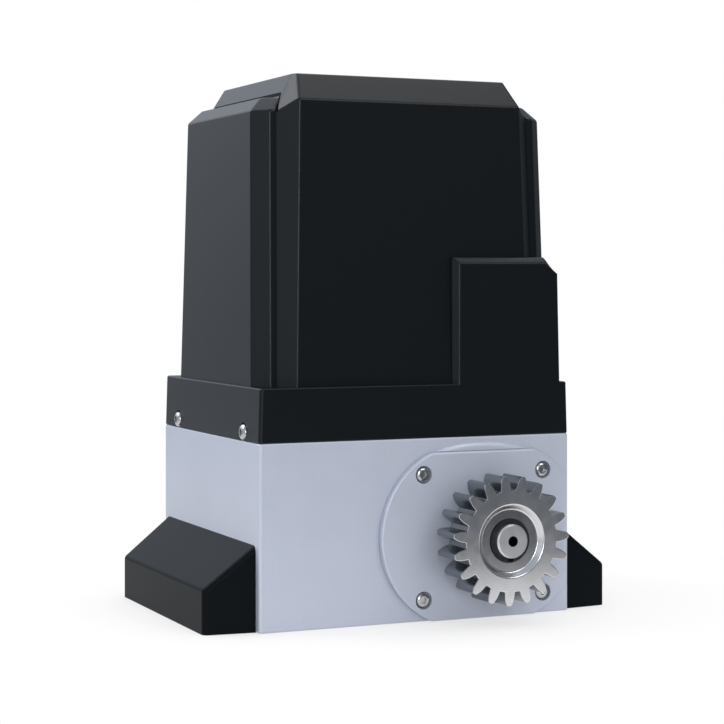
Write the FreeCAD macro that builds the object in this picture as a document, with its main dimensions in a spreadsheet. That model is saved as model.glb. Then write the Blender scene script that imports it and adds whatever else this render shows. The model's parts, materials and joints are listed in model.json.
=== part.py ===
import FreeCAD, Part
import math
import os

import Sketcher
from FreeCAD import Placement, Rotation, Vector

# Sliding gate motor: die-cast base with a worm gearbox, a vertical motor under a moulded hood,
# a module 4 pinion on the front and a key-locked release lever on the rear.
# Millimetres. +X to the right seen from the pinion, +Y to the rear, +Z up.
# The origin lies on the mounting plane, in the middle of the base.

# Driving dimensions: name, value and what it is. Every other size is worked out from these.
DIMENSIONS = {
    # base casting
    "base_length": 224.0,
    "base_width": 188.0,
    "base_height": 120.0,
    "base_corner": 2.0,
    "casting_wall": 8.0,
    "casting_floor": 6.0,
    "divider_gap": 46.5,
    "divider_thick": 12.0,
    "bulkhead_inset": 36.0,
    "bulkhead_thick": 8.0,
    "anchor_flange_reach": 28.0,
    "anchor_flange_half": 78.0,
    "anchor_flange_thick": 8.0,
    "anchor_spread": 252.0,
    "anchor_depth_spacing": 130.0,
    "anchor_slot_length": 20.0,
    "anchor_slot_width": 11.0,
    "cable_hole_back": -30.0,
    "cable_bore": 10.0,
    "grommet_wall": 4.0,
    "grommet_rim": 3.0,
    # drive axis and gears
    "axis_inset": 66.5,
    "axis_drop": 4.5,
    "pressure_angle": 20.0,
    "pinion_module": 4.0,
    "pinion_teeth": 19.0,
    "pinion_face": 25.0,
    "pinion_reach": 43.5,
    "pinion_phase": 2.3,
    "pinion_hub_radius": 22.5,
    "pinion_recess_depth": 3.3,
    "pinion_recess_radius": 20.4,
    "worm_module": 2.5,
    "worm_pitch_diameter": 28.0,
    "wheel_teeth": 28.0,
    "wheel_face": 17.0,
    "wheel_middle": -21.5,
    "wheel_widening": 0.45,
    "wheel_hub_length": 3.7,
    "wheel_hub_radius": 20.0,
    "thread_thinning": 0.5,
    "worm_length": 45.0,
    # output shaft
    "shaft_radius": 12.5,
    "shaft_seat_radius": 11.0,
    "shaft_end_reach": 45.0,
    "shaft_rear_reach": 1.0,
    "shaft_chamfer": 1.0,
    "collar_radius": 17.0,
    "collar_length": 5.0,
    "centre_hole_radius": 3.2,
    "centre_hole_depth": 9.0,
    "key_size": 6.0,
    "key_length": 24.0,
    "ring_thick": 1.2,
    "ring_radius": 13.9,
    "ring_groove_radius": 10.3,
    "bush_wall": 2.5,
    "rod_radius": 4.0,
    # clutch
    "clutch_radius": 26.0,
    "clutch_length": 15.0,
    "dog_inner": 16.5,
    "dog_outer": 25.0,
    "dog_height": 4.5,
    "dog_angle": 40.0,
    "dog_gap": 0.5,
    "clutch_travel": 6.0,
    "cross_pin_radius": 3.0,
    "cross_pin_length": 50.0,
    "spring_radius": 17.0,
    "spring_wire": 2.5,
    "spring_turns": 4.0,
    "spring_room": 21.0,
    "spring_seat_radius": 21.0,
    "spring_seat_thick": 3.0,
    # output bearings and seal
    "bearing_radius": 26.0,
    "bearing_width": 15.0,
    "bearing_ring": 3.5,
    "front_bearing_depth": 2.0,
    "rear_bearing_boss": 32.0,
    "seal_radius": 19.0,
    # front cover plate
    "plate_shoulder": 4.8,
    "plate_arc_offset": 14.4,
    "plate_margin": 4.8,
    "plate_thick": 4.3,
    "plate_edge": 1.5,
    "fairing_half": 33.5,
    "fairing_rise": 6.0,
    "fairing_gap": 0.2,
    "fairing_inset": 3.0,
    "fairing_thick": 1.6,
    "gasket_thick": 0.5,
    "gasket_inset": 1.5,
    "plate_right_gap": 4.5,
    "spigot_radius": 42.0,
    "spigot_length": 8.0,
    "bearing_boss_radius": 31.0,
    "plate_screw_across": 88.5,
    "plate_screw_inset": 14.2,
    "plate_screw_boss": 6.5,
    "plate_screw_grip": 12.0,
    # fasteners
    "screw_radius": 3.0,
    "screw_head_radius": 5.25,
    "screw_head_height": 3.3,
    "screw_socket": 2.3,
    "screw_counterbore": 5.9,
    "counterbore_depth": 3.5,
    "thread_play": 0.05,
    "hole_play": 0.3,
    # worm shaft and its bearings
    "lower_bearing_radius": 16.0,
    "lower_bearing_width": 9.0,
    "lower_bearing_base": 12.0,
    "lower_boss_radius": 21.0,
    "lower_seat_radius": 7.5,
    "worm_neck_radius": 10.0,
    "upper_bearing_radius": 21.0,
    "upper_bearing_width": 12.0,
    "upper_bearing_drop": 14.0,
    "upper_boss_radius": 26.0,
    "upper_shoulder_radius": 12.0,
    "top_bearing_radius": 17.5,
    "top_bearing_width": 11.0,
    "top_bearing_rise": 5.0,
    # motor
    "flange_thick": 7.5,
    "flange_overlap": 4.0,
    "flange_screw_inset": 6.0,
    "flange_boss_radius": 8.0,
    "flange_boss_length": 60.0,
    "flange_screw_length": 22.0,
    "motor_radius": 55.0,
    "motor_shell_inner": 46.0,
    "motor_seat_height": 12.0,
    "tie_circle": 50.5,
    "tie_radius": 2.5,
    "tie_head_radius": 4.5,
    "tie_head_height": 3.5,
    "stator_length": 75.0,
    "stator_bore": 32.5,
    "slot_inner": 36.0,
    "slot_outer": 45.0,
    "slot_width": 8.0,
    "slot_count": 12.0,
    "coil_height": 10.0,
    "coil_play": 0.5,
    "rotor_gap": 0.5,
    "rotor_bore": 11.0,
    "bell_side": 21.0,
    "bell_top": 7.0,
    "bell_boss_radius": 22.0,
    "bell_cap": 2.0,
    # hood
    "hood_wall": 3.0,
    "skirt_height": 35.0,
    "skirt_corner": 2.5,
    "skirt_lean": 1.0,
    "hood_height": 358.5,
    "tower_side_low": 16.0,
    "tower_side_high": 20.5,
    "tower_side_top": 34.0,
    "tower_front_low": 4.4,
    "tower_front_high": 11.0,
    "tower_front_top": 26.0,
    "tower_corner": 11.7,
    "tower_corner_top": 3.0,
    "tower_shoulder_drop": 18.0,
    "tower_side_drop": 26.0,
    "tower_facet_turn": 1.9,
    "tower_facet_setback": 5.0,
    "tower_spare": 40.0,
    "pad_side_low": 3.5,
    "pad_side_high": 6.1,
    "pad_front_low": 14.2,
    "pad_front_high": 22.3,
    "pad_corner": 9.7,
    "pad_shoulder_drop": 25.0,
    "pad_chamfer": 9.0,
    "riser_width": 86.2,
    "riser_side_low": 6.0,
    "riser_side_high": 8.0,
    "riser_back": 66.0,
    "riser_height": 239.0,
    "riser_cut_across": 9.0,
    "riser_cut_down": 10.5,
    "riser_chamfer": 4.0,
    # hood screws
    "hood_screw_rise": 5.5,
    "hood_screw_spacing": 130.0,
    "hood_notch_radius": 6.35,
    "hood_ledge": 1.5,
    "lug_height": 14.0,
    "lug_half": 9.0,
    "lug_thick": 3.7,
    # foot covers
    "foot_reach": 34.0,
    "foot_wall": 2.5,
    "foot_inner_half": 88.0,
    "foot_outer_half": 84.5,
    "foot_inner_height": 55.0,
    "foot_outer_height": 28.5,
    "foot_edge": 4.0,
    # release lever and its recess
    "recess_reach": 108.0,
    "recess_heel": 20.5,
    "recess_depth": 28.0,
    "recess_half": 17.5,
    "recess_wall": 6.0,
    "pivot_offset": 3.5,
    "pivot_inset": 13.0,
    "pivot_radius": 3.0,
    "cam_radius": 10.0,
    "cam_half": 9.5,
    "lever_reach": 90.0,
    "lever_heel": 12.5,
    "lever_thick": 6.0,
    "lever_play": 0.4,
    "lever_corner": 4.0,
    "lock_radius": 8.0,
    "lock_offset": 70.0,
    "tongue_length": 21.0,
    "tongue_half": 4.0,
    "tongue_thick": 3.5,
    "tongue_room": 1.0,
    "key_slot_half": 1.0,
    "key_slot_length": 8.0,
    "moving_gap": 0.3,
    "running_play": 0.05,
    # electronics
    "bracket_thick": 2.0,
    "bracket_gap": 26.0,
    "bracket_drop": 58.5,
    "bracket_front": -60.0,
    "bracket_back": 50.0,
    "board_thick": 1.6,
    "board_gap": 6.4,
    "board_margin": 6.0,
    "board_rise": 30.0,
    "standoff_radius": 3.0,
    "terminal_height": 12.0,
    "terminal_depth": 11.0,
    "terminal_width": 38.0,
    "terminal_ways": 6.0,
    "relay_width": 15.0,
    "relay_height": 28.0,
    "relay_depth": 16.0,
    "relay_pitch": 22.0,
    "relay_count": 3.0,
    "transformer_inset": 52.0,
    "transformer_setback": 38.0,
    "transformer_length": 60.0,
    "transformer_thick": 32.0,
    "transformer_height": 50.0,
    "transformer_limb": 10.0,
    "coil_bulge": 6.0,
    "capacitor_gap": 60.0,
    "capacitor_setback": 31.0,
    "capacitor_radius": 20.0,
    "capacitor_height": 90.0,
    "tag_spacing": 14.0,
    "tag_width": 6.0,
    "tag_thick": 2.0,
    "tag_height": 8.0,
    "holder_wall": 2.5,
    "holder_height": 18.0,
    "holder_rim": 4.0,
    "sensor_inset": 22.3,
    "sensor_width": 38.0,
    "sensor_setback": 9.3,
    "sensor_foot": 18.0,
    "sensor_drop": 13.0,
    "sensor_board_rise": 30.0,
    "sensor_size": 16.0,
    "sensor_depth": 4.5,
}

doc = FreeCAD.newDocument("SlidingGateMotor")
sheet = doc.addObject("Spreadsheet::Sheet", "Sizes")

# A piece drawn along Z is turned so that its Z points forward (-Y) and its Y points up.
FORWARD = Rotation(Vector(1, 0, 0), 90)


class Size:
    """A length or an angle: its number now, and the sheet formula that it follows."""

    def __init__(self, now, formula):
        self.now = now
        self.formula = formula

    def joined(self, other, sign, now):
        return Size(now, "(%s %s %s)" % (self.formula, sign, other.formula))

    def __add__(self, other):
        other = as_size(other)
        return self.joined(other, "+", self.now + other.now)

    def __radd__(self, other):
        return as_size(other) + self

    def __sub__(self, other):
        other = as_size(other)
        return self.joined(other, "-", self.now - other.now)

    def __rsub__(self, other):
        return as_size(other) - self

    def __mul__(self, other):
        other = as_size(other)
        return self.joined(other, "*", self.now * other.now)

    def __rmul__(self, other):
        return as_size(other) * self

    def __truediv__(self, other):
        other = as_size(other)
        return self.joined(other, "/", self.now / other.now)

    def __rtruediv__(self, other):
        return as_size(other) / self

    def __neg__(self):
        return as_size(0) - self


def as_size(value):
    if isinstance(value, Size):
        return value
    return Size(float(value), "(%s)" % float(value))


def cosine(angle):
    angle = as_size(angle)
    return Size(math.cos(math.radians(angle.now)), "cos(%s)" % angle.formula)


def sine(angle):
    angle = as_size(angle)
    return Size(math.sin(math.radians(angle.now)), "sin(%s)" % angle.formula)


def tangent(angle):
    angle = as_size(angle)
    return Size(math.tan(math.radians(angle.now)), "tan(%s)" % angle.formula)


def arc_cosine(ratio):
    return Size(math.degrees(math.acos(ratio.now)), "(acos(%s) / 1deg)" % ratio.formula)


def root(square):
    return Size(math.sqrt(square.now), "sqrt(%s)" % square.formula)


def polar(radius, angle, centre=(0, 0)):
    """The point at this radius and angle round a centre."""
    return (centre[0] + radius * cosine(angle), centre[1] + radius * sine(angle))


class Sheet:
    """The driving dimensions by name, each as a Size that follows its cell."""

    def __init__(self, dimensions):
        for row, (alias, value) in enumerate(dimensions.items(), 1):
            sheet.set("A%d" % row, alias)
            sheet.set("B%d" % row, str(value))
            sheet.setAlias("B%d" % row, alias)
            setattr(self, alias, Size(value, "Sizes." + alias))


S = Sheet(DIMENSIONS)
doc.recompute()


class Circle:
    """A round loop of a sketch."""

    def __init__(self, across, up, radius):
        self.centre = (as_size(across), as_size(up))
        self.radius = as_size(radius)


class Through:
    """A point that the arc between the corners beside it passes through."""

    def __init__(self, point):
        self.point = point


def rectangle(left, right, low, high):
    return [(left, low), (right, low), (right, high), (left, high)]


def rounded(left, right, low, high, radius):
    """A rectangle with round corners."""
    short = radius * (1 - cosine(45))
    return [
        (left + radius, low), (right - radius, low), Through((right - short, low + short)),
        (right, low + radius), (right, high - radius), Through((right - short, high - short)),
        (right - radius, high), (left + radius, high), Through((left + short, high - short)),
        (left, high - radius), (left, low + radius), Through((left + short, low + short)),
    ]


def octagon(half_length, half_width, corner):
    """A rectangle about the origin with its corners cut at 45 degrees."""
    inner = half_length - corner
    short = half_width - corner
    return [
        (-inner, -half_width), (inner, -half_width), (half_length, -short), (half_length, short),
        (inner, half_width), (-inner, half_width), (-half_length, short), (-half_length, -short),
    ]


def sector(inner, outer, middle, width):
    """A piece of a ring, between two radii and about one angle."""
    start = middle - width / 2
    end = middle + width / 2
    return [
        polar(inner, start), polar(outer, start), Through(polar(outer, middle)),
        polar(outer, end), polar(inner, end), Through(polar(inner, middle)),
    ]


def four_places(half_across, half_up, centre=(0, 0)):
    """The corners of a rectangle of holes."""
    return [(centre[0] + i * half_across, centre[1] + j * half_up) for i in (-1, 1) for j in (-1, 1)]


def circles(places, radius):
    return [Circle(across, up, radius) for across, up in places]


def pin_point(sketch, index, position, point):
    """Hold one point of a sketch at a place that follows the sheet."""
    for kind, value in zip(("DistanceX", "DistanceY"), point):
        value = as_size(value)
        number = sketch.addConstraint(Sketcher.Constraint(kind, -1, 1, index, position, value.now))
        sketch.setExpression("Constraints[%d]" % number, value.formula)


def flat(point):
    return Vector(as_size(point[0]).now, as_size(point[1]).now, 0)


def arc_through(start, middle, end):
    """An anticlockwise arc, and whether its ends had to be swapped for that."""
    circle = Part.Circle(start, middle, end)
    clockwise = (middle - start).cross(end - middle).z < 0
    first, last = (end, start) if clockwise else (start, end)
    centre = circle.Center
    angles = [math.atan2(p.y - centre.y, p.x - centre.x) for p in (first, last)]
    if angles[1] <= angles[0]:
        angles[1] += 2 * math.pi
    upright = Part.Circle(centre, Vector(0, 0, 1), circle.Radius)
    return Part.ArcOfCircle(upright, *angles), clockwise


def draw_outline(sketch, outline):
    """A closed loop of lines and arcs, each corner held by the sheet."""
    corners = [point for point in outline if not isinstance(point, Through)]
    edges = []
    for number, corner in enumerate(corners):
        after = corners[(number + 1) % len(corners)]
        middle = outline[(outline.index(corner) + 1) % len(outline)]
        if isinstance(middle, Through):
            arc, swapped = arc_through(flat(corner), flat(middle.point), flat(after))
            index = sketch.addGeometry(arc)
            on_arc = sketch.addGeometry(Part.Point(flat(middle.point)), True)
            pin_point(sketch, on_arc, 1, middle.point)
            sketch.addConstraint(Sketcher.Constraint("PointOnObject", on_arc, 1, index))
            edges.append((index, 2 if swapped else 1, 1 if swapped else 2))
        else:
            index = sketch.addGeometry(Part.LineSegment(flat(corner), flat(after)))
            edges.append((index, 1, 2))
    for number, (index, start, end) in enumerate(edges):
        after = edges[(number + 1) % len(edges)]
        sketch.addConstraint(Sketcher.Constraint("Coincident", index, end, after[0], after[1]))
        pin_point(sketch, index, start, corners[number])


def draw(sketch, loops):
    for loop in loops:
        if isinstance(loop, Circle):
            circle = Part.Circle(flat(loop.centre), Vector(0, 0, 1), loop.radius.now)
            index = sketch.addGeometry(circle)
            pin_point(sketch, index, 3, loop.centre)
            number = sketch.addConstraint(Sketcher.Constraint("Radius", index, loop.radius.now))
            sketch.setExpression("Constraints[%d]" % number, loop.radius.formula)
        else:
            draw_outline(sketch, loop)


PIECES = []


class Piece:
    """One sub-part: a body with its own label, drawn in its own frame and then placed."""

    def __init__(self, name):
        self.body = doc.addObject("PartDesign::Body", name)
        self.body.Label = name
        self.body.AllowCompound = True
        PIECES.append(self.body)

    def origin(self, role):
        return [part for part in self.body.Origin.OriginFeatures if part.Role == role][0]

    def sketch(self, loops, lift, plane):
        sketch = self.body.newObject("Sketcher::SketchObject", "Sketch")
        sketch.AttachmentSupport = [(self.origin(plane), "")]
        sketch.MapMode = "FlatFace"
        sketch.setExpression("AttachmentOffset.Base.z", as_size(lift).formula)
        draw(sketch, loops)
        return sketch

    def feature(self, kind, sketch):
        feature = self.body.newObject("PartDesign::" + kind, kind)
        feature.Profile = sketch
        self.body.Tip = feature
        return feature

    def add(self, loops, low, high, plane="XY_Plane"):
        """Pad the loops from low to high, measured along the plane's normal."""
        pad = self.feature("Pad", self.sketch(loops, low, plane))
        pad.setExpression("Length", (as_size(high) - low).formula)
        return pad

    def cut(self, loops, low, high, plane="XY_Plane"):
        """Pocket the loops from low to high, measured along the plane's normal."""
        pocket = self.feature("Pocket", self.sketch(loops, low, plane))
        pocket.Reversed = True
        pocket.setExpression("Length", (as_size(high) - low).formula)
        return pocket

    def turn(self, outline):
        """Revolve an outline of (radius, height) points about the Z axis."""
        sketch = self.sketch([outline], 0, "XZ_Plane")
        revolution = self.feature("Revolution", sketch)
        revolution.ReferenceAxis = (sketch, ["V_Axis"])
        revolution.Angle = 360
        return revolution

    def loft(self, sections, plane="XY_Plane", kind="AdditiveLoft"):
        """Join outlines at rising places by flat sides."""
        sketches = [self.sketch([outline], lift, plane) for outline, lift in sections]
        loft = self.feature(kind, sketches[0])
        loft.Sections = sketches[1:]
        loft.Ruled = True
        return loft

    def helix(self, loop, pitch, height):
        sketch = self.sketch([loop], 0, "XZ_Plane")
        helix = self.feature("AdditiveHelix", sketch)
        helix.ReferenceAxis = (sketch, ["V_Axis"])
        helix.Mode = "pitch-height-angle"
        helix.setExpression("Pitch", pitch.formula)
        helix.setExpression("Height", height.formula)
        return helix

    def around(self, feature, count):
        """Repeat a feature evenly about the Z axis."""
        pattern = self.body.newObject("PartDesign::PolarPattern", "Around")
        pattern.Originals = [feature]
        pattern.Axis = (self.origin("Z_Axis"), [""])
        pattern.Angle = 360
        pattern.setExpression("Occurrences", as_size(count).formula)
        self.body.Tip = pattern

    def dress(self, kind, size, chosen):
        """Fillet or chamfer the edges of the shape so far that pass a test."""
        doc.recompute()
        base = self.body.Tip
        names = ["Edge%d" % n for n, edge in enumerate(base.Shape.Edges, 1) if chosen(edge)]
        dressed = self.body.newObject("PartDesign::" + kind, kind)
        dressed.Base = (base, names)
        dressed.setExpression("Radius" if kind == "Fillet" else "Size", size.formula)
        self.body.Tip = dressed

    def place(self, across=0, back=0, up=0, turned=Rotation()):
        self.body.Placement = Placement(Vector(), turned)
        for axis, value in zip("xyz", (across, back, up)):
            self.body.setExpression("Placement.Base." + axis, as_size(value).formula)


def on_plane(edge, axis, value, near=0.01):
    """Whether both ends of an edge lie at one value of X (0), Y (1) or Z (2)."""
    return all(abs(vertex.Point[axis] - value) < near for vertex in edge.Vertexes)


# Places that several sub-parts share
half_length = S.base_length / 2
half_width = S.base_width / 2
chamber_right = half_length - S.casting_wall
chamber_front = S.casting_wall - half_width
rear_inside = half_width - S.casting_wall
bulkhead_front = half_width - S.bulkhead_inset
bulkhead_rear = bulkhead_front + S.bulkhead_thick
axis_across = half_length - S.axis_inset
axis_height = S.base_height / 2 - S.axis_drop
axis_place = (axis_across, axis_height)
worm_across = axis_across - (S.worm_module * S.wheel_teeth + S.worm_pitch_diameter) / 2
worm_place = (worm_across, S.wheel_middle)
worm_lead = S.worm_module * math.pi
divider_left = worm_across - S.divider_gap
chamber_left = divider_left + S.divider_thick
cable_hole_across = (divider_left - chamber_right) / 2
flange_low = S.base_height + S.gasket_thick
flange_top = flange_low + S.flange_thick
flange_boss_low = S.base_height - S.flange_boss_length
stator_low = flange_top + S.motor_seat_height
stator_high = stator_low + S.stator_length
bell_low = stator_high + S.bell_side
bell_high = bell_low + S.bell_top
upper_bearing_base = S.base_height - S.upper_bearing_drop
top_bearing_base = bell_low + S.top_bearing_rise
screw_hole = S.screw_radius + S.thread_play
anchor_places = four_places(S.anchor_spread / 2, S.anchor_depth_spacing / 2)
plate_half_height = S.base_height / 2 - S.plate_margin
plate_arc_radius = plate_half_height + S.plate_shoulder
plate_screw_half = plate_half_height - S.plate_screw_inset
plate_screw_places = four_places(S.plate_screw_across / 2, plate_screw_half, axis_place)
flange_screw_places = [
    (across, back)
    for across in (chamber_left + S.flange_screw_inset, chamber_right - S.flange_screw_inset)
    for back in (chamber_front + S.flange_screw_inset, bulkhead_front - S.flange_screw_inset)
]
tie_places = [polar(S.tie_circle, 45 + 90 * quarter, worm_place) for quarter in range(4)]
lug_face = half_length - S.hood_wall - S.moving_gap
lug_back = lug_face - S.lug_thick
side_screw_backs = (-S.hood_screw_spacing / 2, S.hood_screw_spacing / 2)

# The release lever's pivot and recess
pivot_across = axis_across - S.pivot_offset
pivot_back = half_width - S.pivot_inset
recess_front = half_width - S.recess_depth
recess_left = pivot_across - S.recess_reach
recess_right = pivot_across + S.recess_heel
recess_low = axis_height - S.recess_half
recess_high = axis_height + S.recess_half
cam_low = axis_height - S.cam_half
cam_high = axis_height + S.cam_half

# The hood's tower, side pads and riser
skirt_top = S.base_height + S.skirt_height
hood_screw_height = S.base_height + S.hood_screw_rise
tower_half_length_low = half_length - S.tower_side_low
tower_half_length_high = half_length - S.tower_side_high
tower_half_length_top = half_length - S.tower_side_top
tower_half_width_low = half_width - S.tower_front_low
tower_half_width_high = half_width - S.tower_front_high
tower_half_width_top = half_width - S.tower_front_top
tower_shoulder = S.hood_height - S.tower_shoulder_drop
tower_side_shoulder = S.hood_height - S.tower_side_drop
pad_half_length_low = half_length - S.pad_side_low
pad_half_length_high = half_length - S.pad_side_high
pad_half_width_low = half_width - S.pad_front_low
pad_half_width_high = half_width - S.pad_front_high
pad_shoulder = S.hood_height - S.pad_shoulder_drop
riser_left = half_length - S.riser_width
riser_right_low = half_length - S.riser_side_low
riser_right_high = half_length - S.riser_side_high
riser_front = half_width

# What stands on the lid and the divider
transformer_across = half_length - S.transformer_inset
transformer_back = half_width - S.transformer_setback
capacitor_across = transformer_across - S.capacitor_gap
capacitor_back = half_width - S.capacitor_setback
sensor_left = riser_left + S.sensor_inset
sensor_right = sensor_left + S.sensor_width
sensor_plane = riser_front - S.sensor_setback
sensor_top = S.riser_height - S.sensor_drop
sensor_board_low = S.base_height + S.sensor_board_rise
bracket_left = chamber_left - S.bracket_gap
bracket_top = S.hood_height - S.bracket_drop
board_low = S.base_height + S.board_rise

# Along the output shaft, measured forward from the front wall
wheel_centre = -half_width - S.wheel_middle
wheel_front = wheel_centre + S.wheel_face / 2
wheel_rear = wheel_centre - S.wheel_face / 2
hub_rear = wheel_rear - S.wheel_hub_length
clutch_rear = wheel_front + S.dog_height + S.dog_gap
clutch_front = clutch_rear + S.clutch_length
cross_pin_at = clutch_rear + S.clutch_length / 2
spring_seat_rear = clutch_front + S.spring_room
pinion_rear = S.pinion_reach - S.pinion_face
hub_face = S.pinion_reach - S.pinion_recess_depth
seat_start = S.gasket_thick + S.plate_thick + 1.7
shaft_rear = bulkhead_front + S.shaft_rear_reach
rear_bearing_rear = -half_width - shaft_rear - S.moving_gap
rod_front = cross_pin_at - S.cross_pin_radius - S.moving_gap
cam_lift = S.clutch_travel / 2
rod_rear = -half_width - (pivot_back + cam_lift - S.cam_radius - S.moving_gap)
rod_bore = S.rod_radius + 0.08


def plate_outline(inset):
    """The front plate about the drive axis: two round shoulders, cut flat on top, bottom and right."""
    radius = plate_arc_radius - inset
    flat_half = plate_half_height - inset
    side = half_length - axis_across - S.plate_right_gap - inset
    offset = S.plate_arc_offset
    corner = offset + root(radius * radius - flat_half * flat_half)
    side_half = root(radius * radius - (side - offset) * (side - offset))
    upper = polar(radius, 48, (offset, 0))
    lower = polar(radius, -48, (offset, 0))
    return [
        (-corner, flat_half), Through((-offset - radius, as_size(0))), (-corner, -flat_half),
        (corner, -flat_half), Through(lower), (side, -side_half),
        (side, side_half), Through(upper), (corner, flat_half),
    ]


def involute(angle):
    return tangent(angle) * (180 / math.pi) - angle


def tooth_gap(module, teeth, middle, widening, shift=0):
    """The space between two involute teeth, about one angle."""
    pitch = module * teeth / 2
    base = pitch * cosine(S.pressure_angle)
    deepest = pitch - 1.25 * module
    outside = pitch + 1.25 * module

    def half(radius):
        lean = arc_cosine(base / radius) if radius is not base else as_size(0)
        return 90 / teeth - involute(S.pressure_angle) + involute(lean) + widening

    def at(radius, angle):
        across, up = polar(radius, angle)
        return (across, up + shift)

    floor_half = half(base) * 0.75
    return [
        at(outside, middle - half(outside)), Through(at(pitch, middle - half(pitch))),
        at(base, middle - half(base)), at(deepest, middle - floor_half),
        Through(at(deepest, middle)), at(deepest, middle + floor_half),
        at(base, middle + half(base)), Through(at(pitch, middle + half(pitch))),
        at(outside, middle + half(outside)),
    ]


def make_base_casting():
    """One die casting: gear chamber, cable bay, anchor flanges, bosses and the lever's recess."""
    piece = Piece("base_casting")
    piece.add([rounded(-half_length, half_length, -half_width, half_width, S.base_corner)],
              0, S.base_height)
    reach = half_length + S.anchor_flange_reach
    half = S.anchor_flange_half
    piece.add([rectangle(-reach, reach, -half, half)], 0, S.anchor_flange_thick)
    chamber = rectangle(chamber_left, chamber_right, chamber_front, bulkhead_front)
    bay = rectangle(-chamber_right, divider_left, chamber_front, bulkhead_front)
    piece.cut([chamber, bay], S.casting_floor, S.base_height)
    rear = rectangle(-chamber_right, chamber_right, bulkhead_rear, rear_inside)
    piece.cut([rear], recess_high + S.recess_wall, S.base_height)
    piece.cut([rear], 0, recess_low - S.recess_wall)
    recess = rectangle(recess_left, recess_right, recess_low, recess_high)
    piece.cut([recess], -half_width, -recess_front, "XZ_Plane")
    # bosses for the cover plate's screws, the rear bearing, the worm's foot and the lid's screws
    piece.add(circles(plate_screw_places, S.plate_screw_boss),
              -chamber_front - S.plate_screw_grip, -chamber_front, "XZ_Plane")
    boss_front = rear_bearing_rear + half_width + S.bearing_width
    piece.add([Circle(*axis_place, S.rear_bearing_boss)], -bulkhead_front, boss_front, "XZ_Plane")
    piece.add([Circle(*worm_place, S.lower_boss_radius)],
              S.casting_floor, S.lower_bearing_base + S.lower_bearing_width)
    piece.add(circles(flange_screw_places, S.flange_boss_radius), flange_boss_low, S.base_height)
    for side in (-1, 1):
        edges = sorted([side * lug_back, side * lug_face], key=lambda size: size.now)
        piece.add([rectangle(*edges, back - S.lug_half, back + S.lug_half)
                   for back in side_screw_backs], S.base_height, S.base_height + S.lug_height)
    # bores and holes
    piece.cut([Circle(*axis_place, S.spigot_radius)], -chamber_front, half_width, "XZ_Plane")
    piece.cut(circles(plate_screw_places, screw_hole),
              -chamber_front - S.plate_screw_grip, half_width, "XZ_Plane")
    piece.cut([Circle(*axis_place, S.bearing_radius)],
              rear_bearing_rear + half_width, boss_front, "XZ_Plane")
    piece.cut([Circle(*axis_place, rod_bore)],
              -recess_front, rear_bearing_rear + half_width, "XZ_Plane")
    piece.cut([Circle(*worm_place, S.lower_bearing_radius)],
              S.lower_bearing_base, S.lower_bearing_base + S.lower_bearing_width)
    piece.cut(circles(flange_screw_places, screw_hole),
              flange_top - S.flange_screw_length, S.base_height)
    side_holes = circles([(back, hood_screw_height) for back in side_screw_backs], screw_hole)
    piece.cut(side_holes, lug_back, lug_face, "YZ_Plane")
    piece.cut(side_holes, -lug_face, -lug_back, "YZ_Plane")
    piece.cut([Circle(cable_hole_across, S.cable_hole_back, S.cable_bore + S.grommet_wall)],
              0, S.casting_floor)
    piece.cut([slot(across, back) for across, back in anchor_places], 0, S.anchor_flange_thick)
    pivot = Circle(pivot_across, pivot_back, S.pivot_radius)
    piece.cut([pivot], recess_low - S.recess_wall, recess_high + S.recess_wall)
    # the lock's tongue swings up into this pocket above the recess
    tongue_at = pivot_across - S.lock_offset
    tip = root(S.tongue_length * S.tongue_length + S.tongue_half * S.tongue_half)
    sweep = root(tip * tip - S.recess_half * S.recess_half)
    plate_inside = half_width - S.lever_thick
    piece.cut([rectangle(tongue_at - S.tongue_half - S.tongue_room, tongue_at + sweep + S.tongue_room,
                         plate_inside - S.tongue_thick - S.tongue_room, plate_inside + S.tongue_room)],
              recess_high, axis_height + tip + S.tongue_room)
    # a low fairing over the front plate's flat top
    flat_top = axis_height + plate_half_height + S.fairing_gap

    def fairing(inset):
        across = S.fairing_half - inset
        return [(axis_across - across, flat_top), (axis_across + across, flat_top),
                Through((axis_across, flat_top + S.fairing_rise - inset))]

    piece.loft([(fairing(as_size(0)), half_width), (fairing(S.fairing_inset), half_width + S.fairing_thick)],
               "XZ_Plane")
    piece.place()


def slot(across, back):
    """An anchor slot along X with round ends."""
    half = (S.anchor_slot_length - S.anchor_slot_width) / 2
    width = S.anchor_slot_width / 2
    return [
        (across - half, back - width), (across + half, back - width),
        Through((across + half + width, back)), (across + half, back + width),
        (across - half, back + width), Through((across - half - width, back)),
    ]


def make_output_cover_plate():
    piece = Piece("output_cover_plate")
    front = S.gasket_thick + S.plate_thick
    piece.add([plate_outline(as_size(0))], S.gasket_thick, front)
    piece.dress("Fillet", S.plate_edge, lambda edge: on_plane(edge, 2, front.now))
    piece.add([Circle(0, 0, S.spigot_radius - S.thread_play)], -S.spigot_length, S.gasket_thick)
    piece.add([Circle(0, 0, S.bearing_boss_radius)],
              -S.front_bearing_depth - S.bearing_width, -S.spigot_length)
    piece.cut([Circle(0, 0, S.bearing_radius)],
              -S.front_bearing_depth - S.bearing_width, -S.front_bearing_depth)
    piece.cut([Circle(0, 0, S.seal_radius)], -S.front_bearing_depth, front)
    places = four_places(S.plate_screw_across / 2, plate_screw_half)
    piece.cut(circles(places, S.screw_radius + S.hole_play), S.gasket_thick, front)
    piece.cut(circles(places, S.screw_counterbore), front - S.counterbore_depth, front)
    piece.place(axis_across, -half_width, axis_height, FORWARD)


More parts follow.
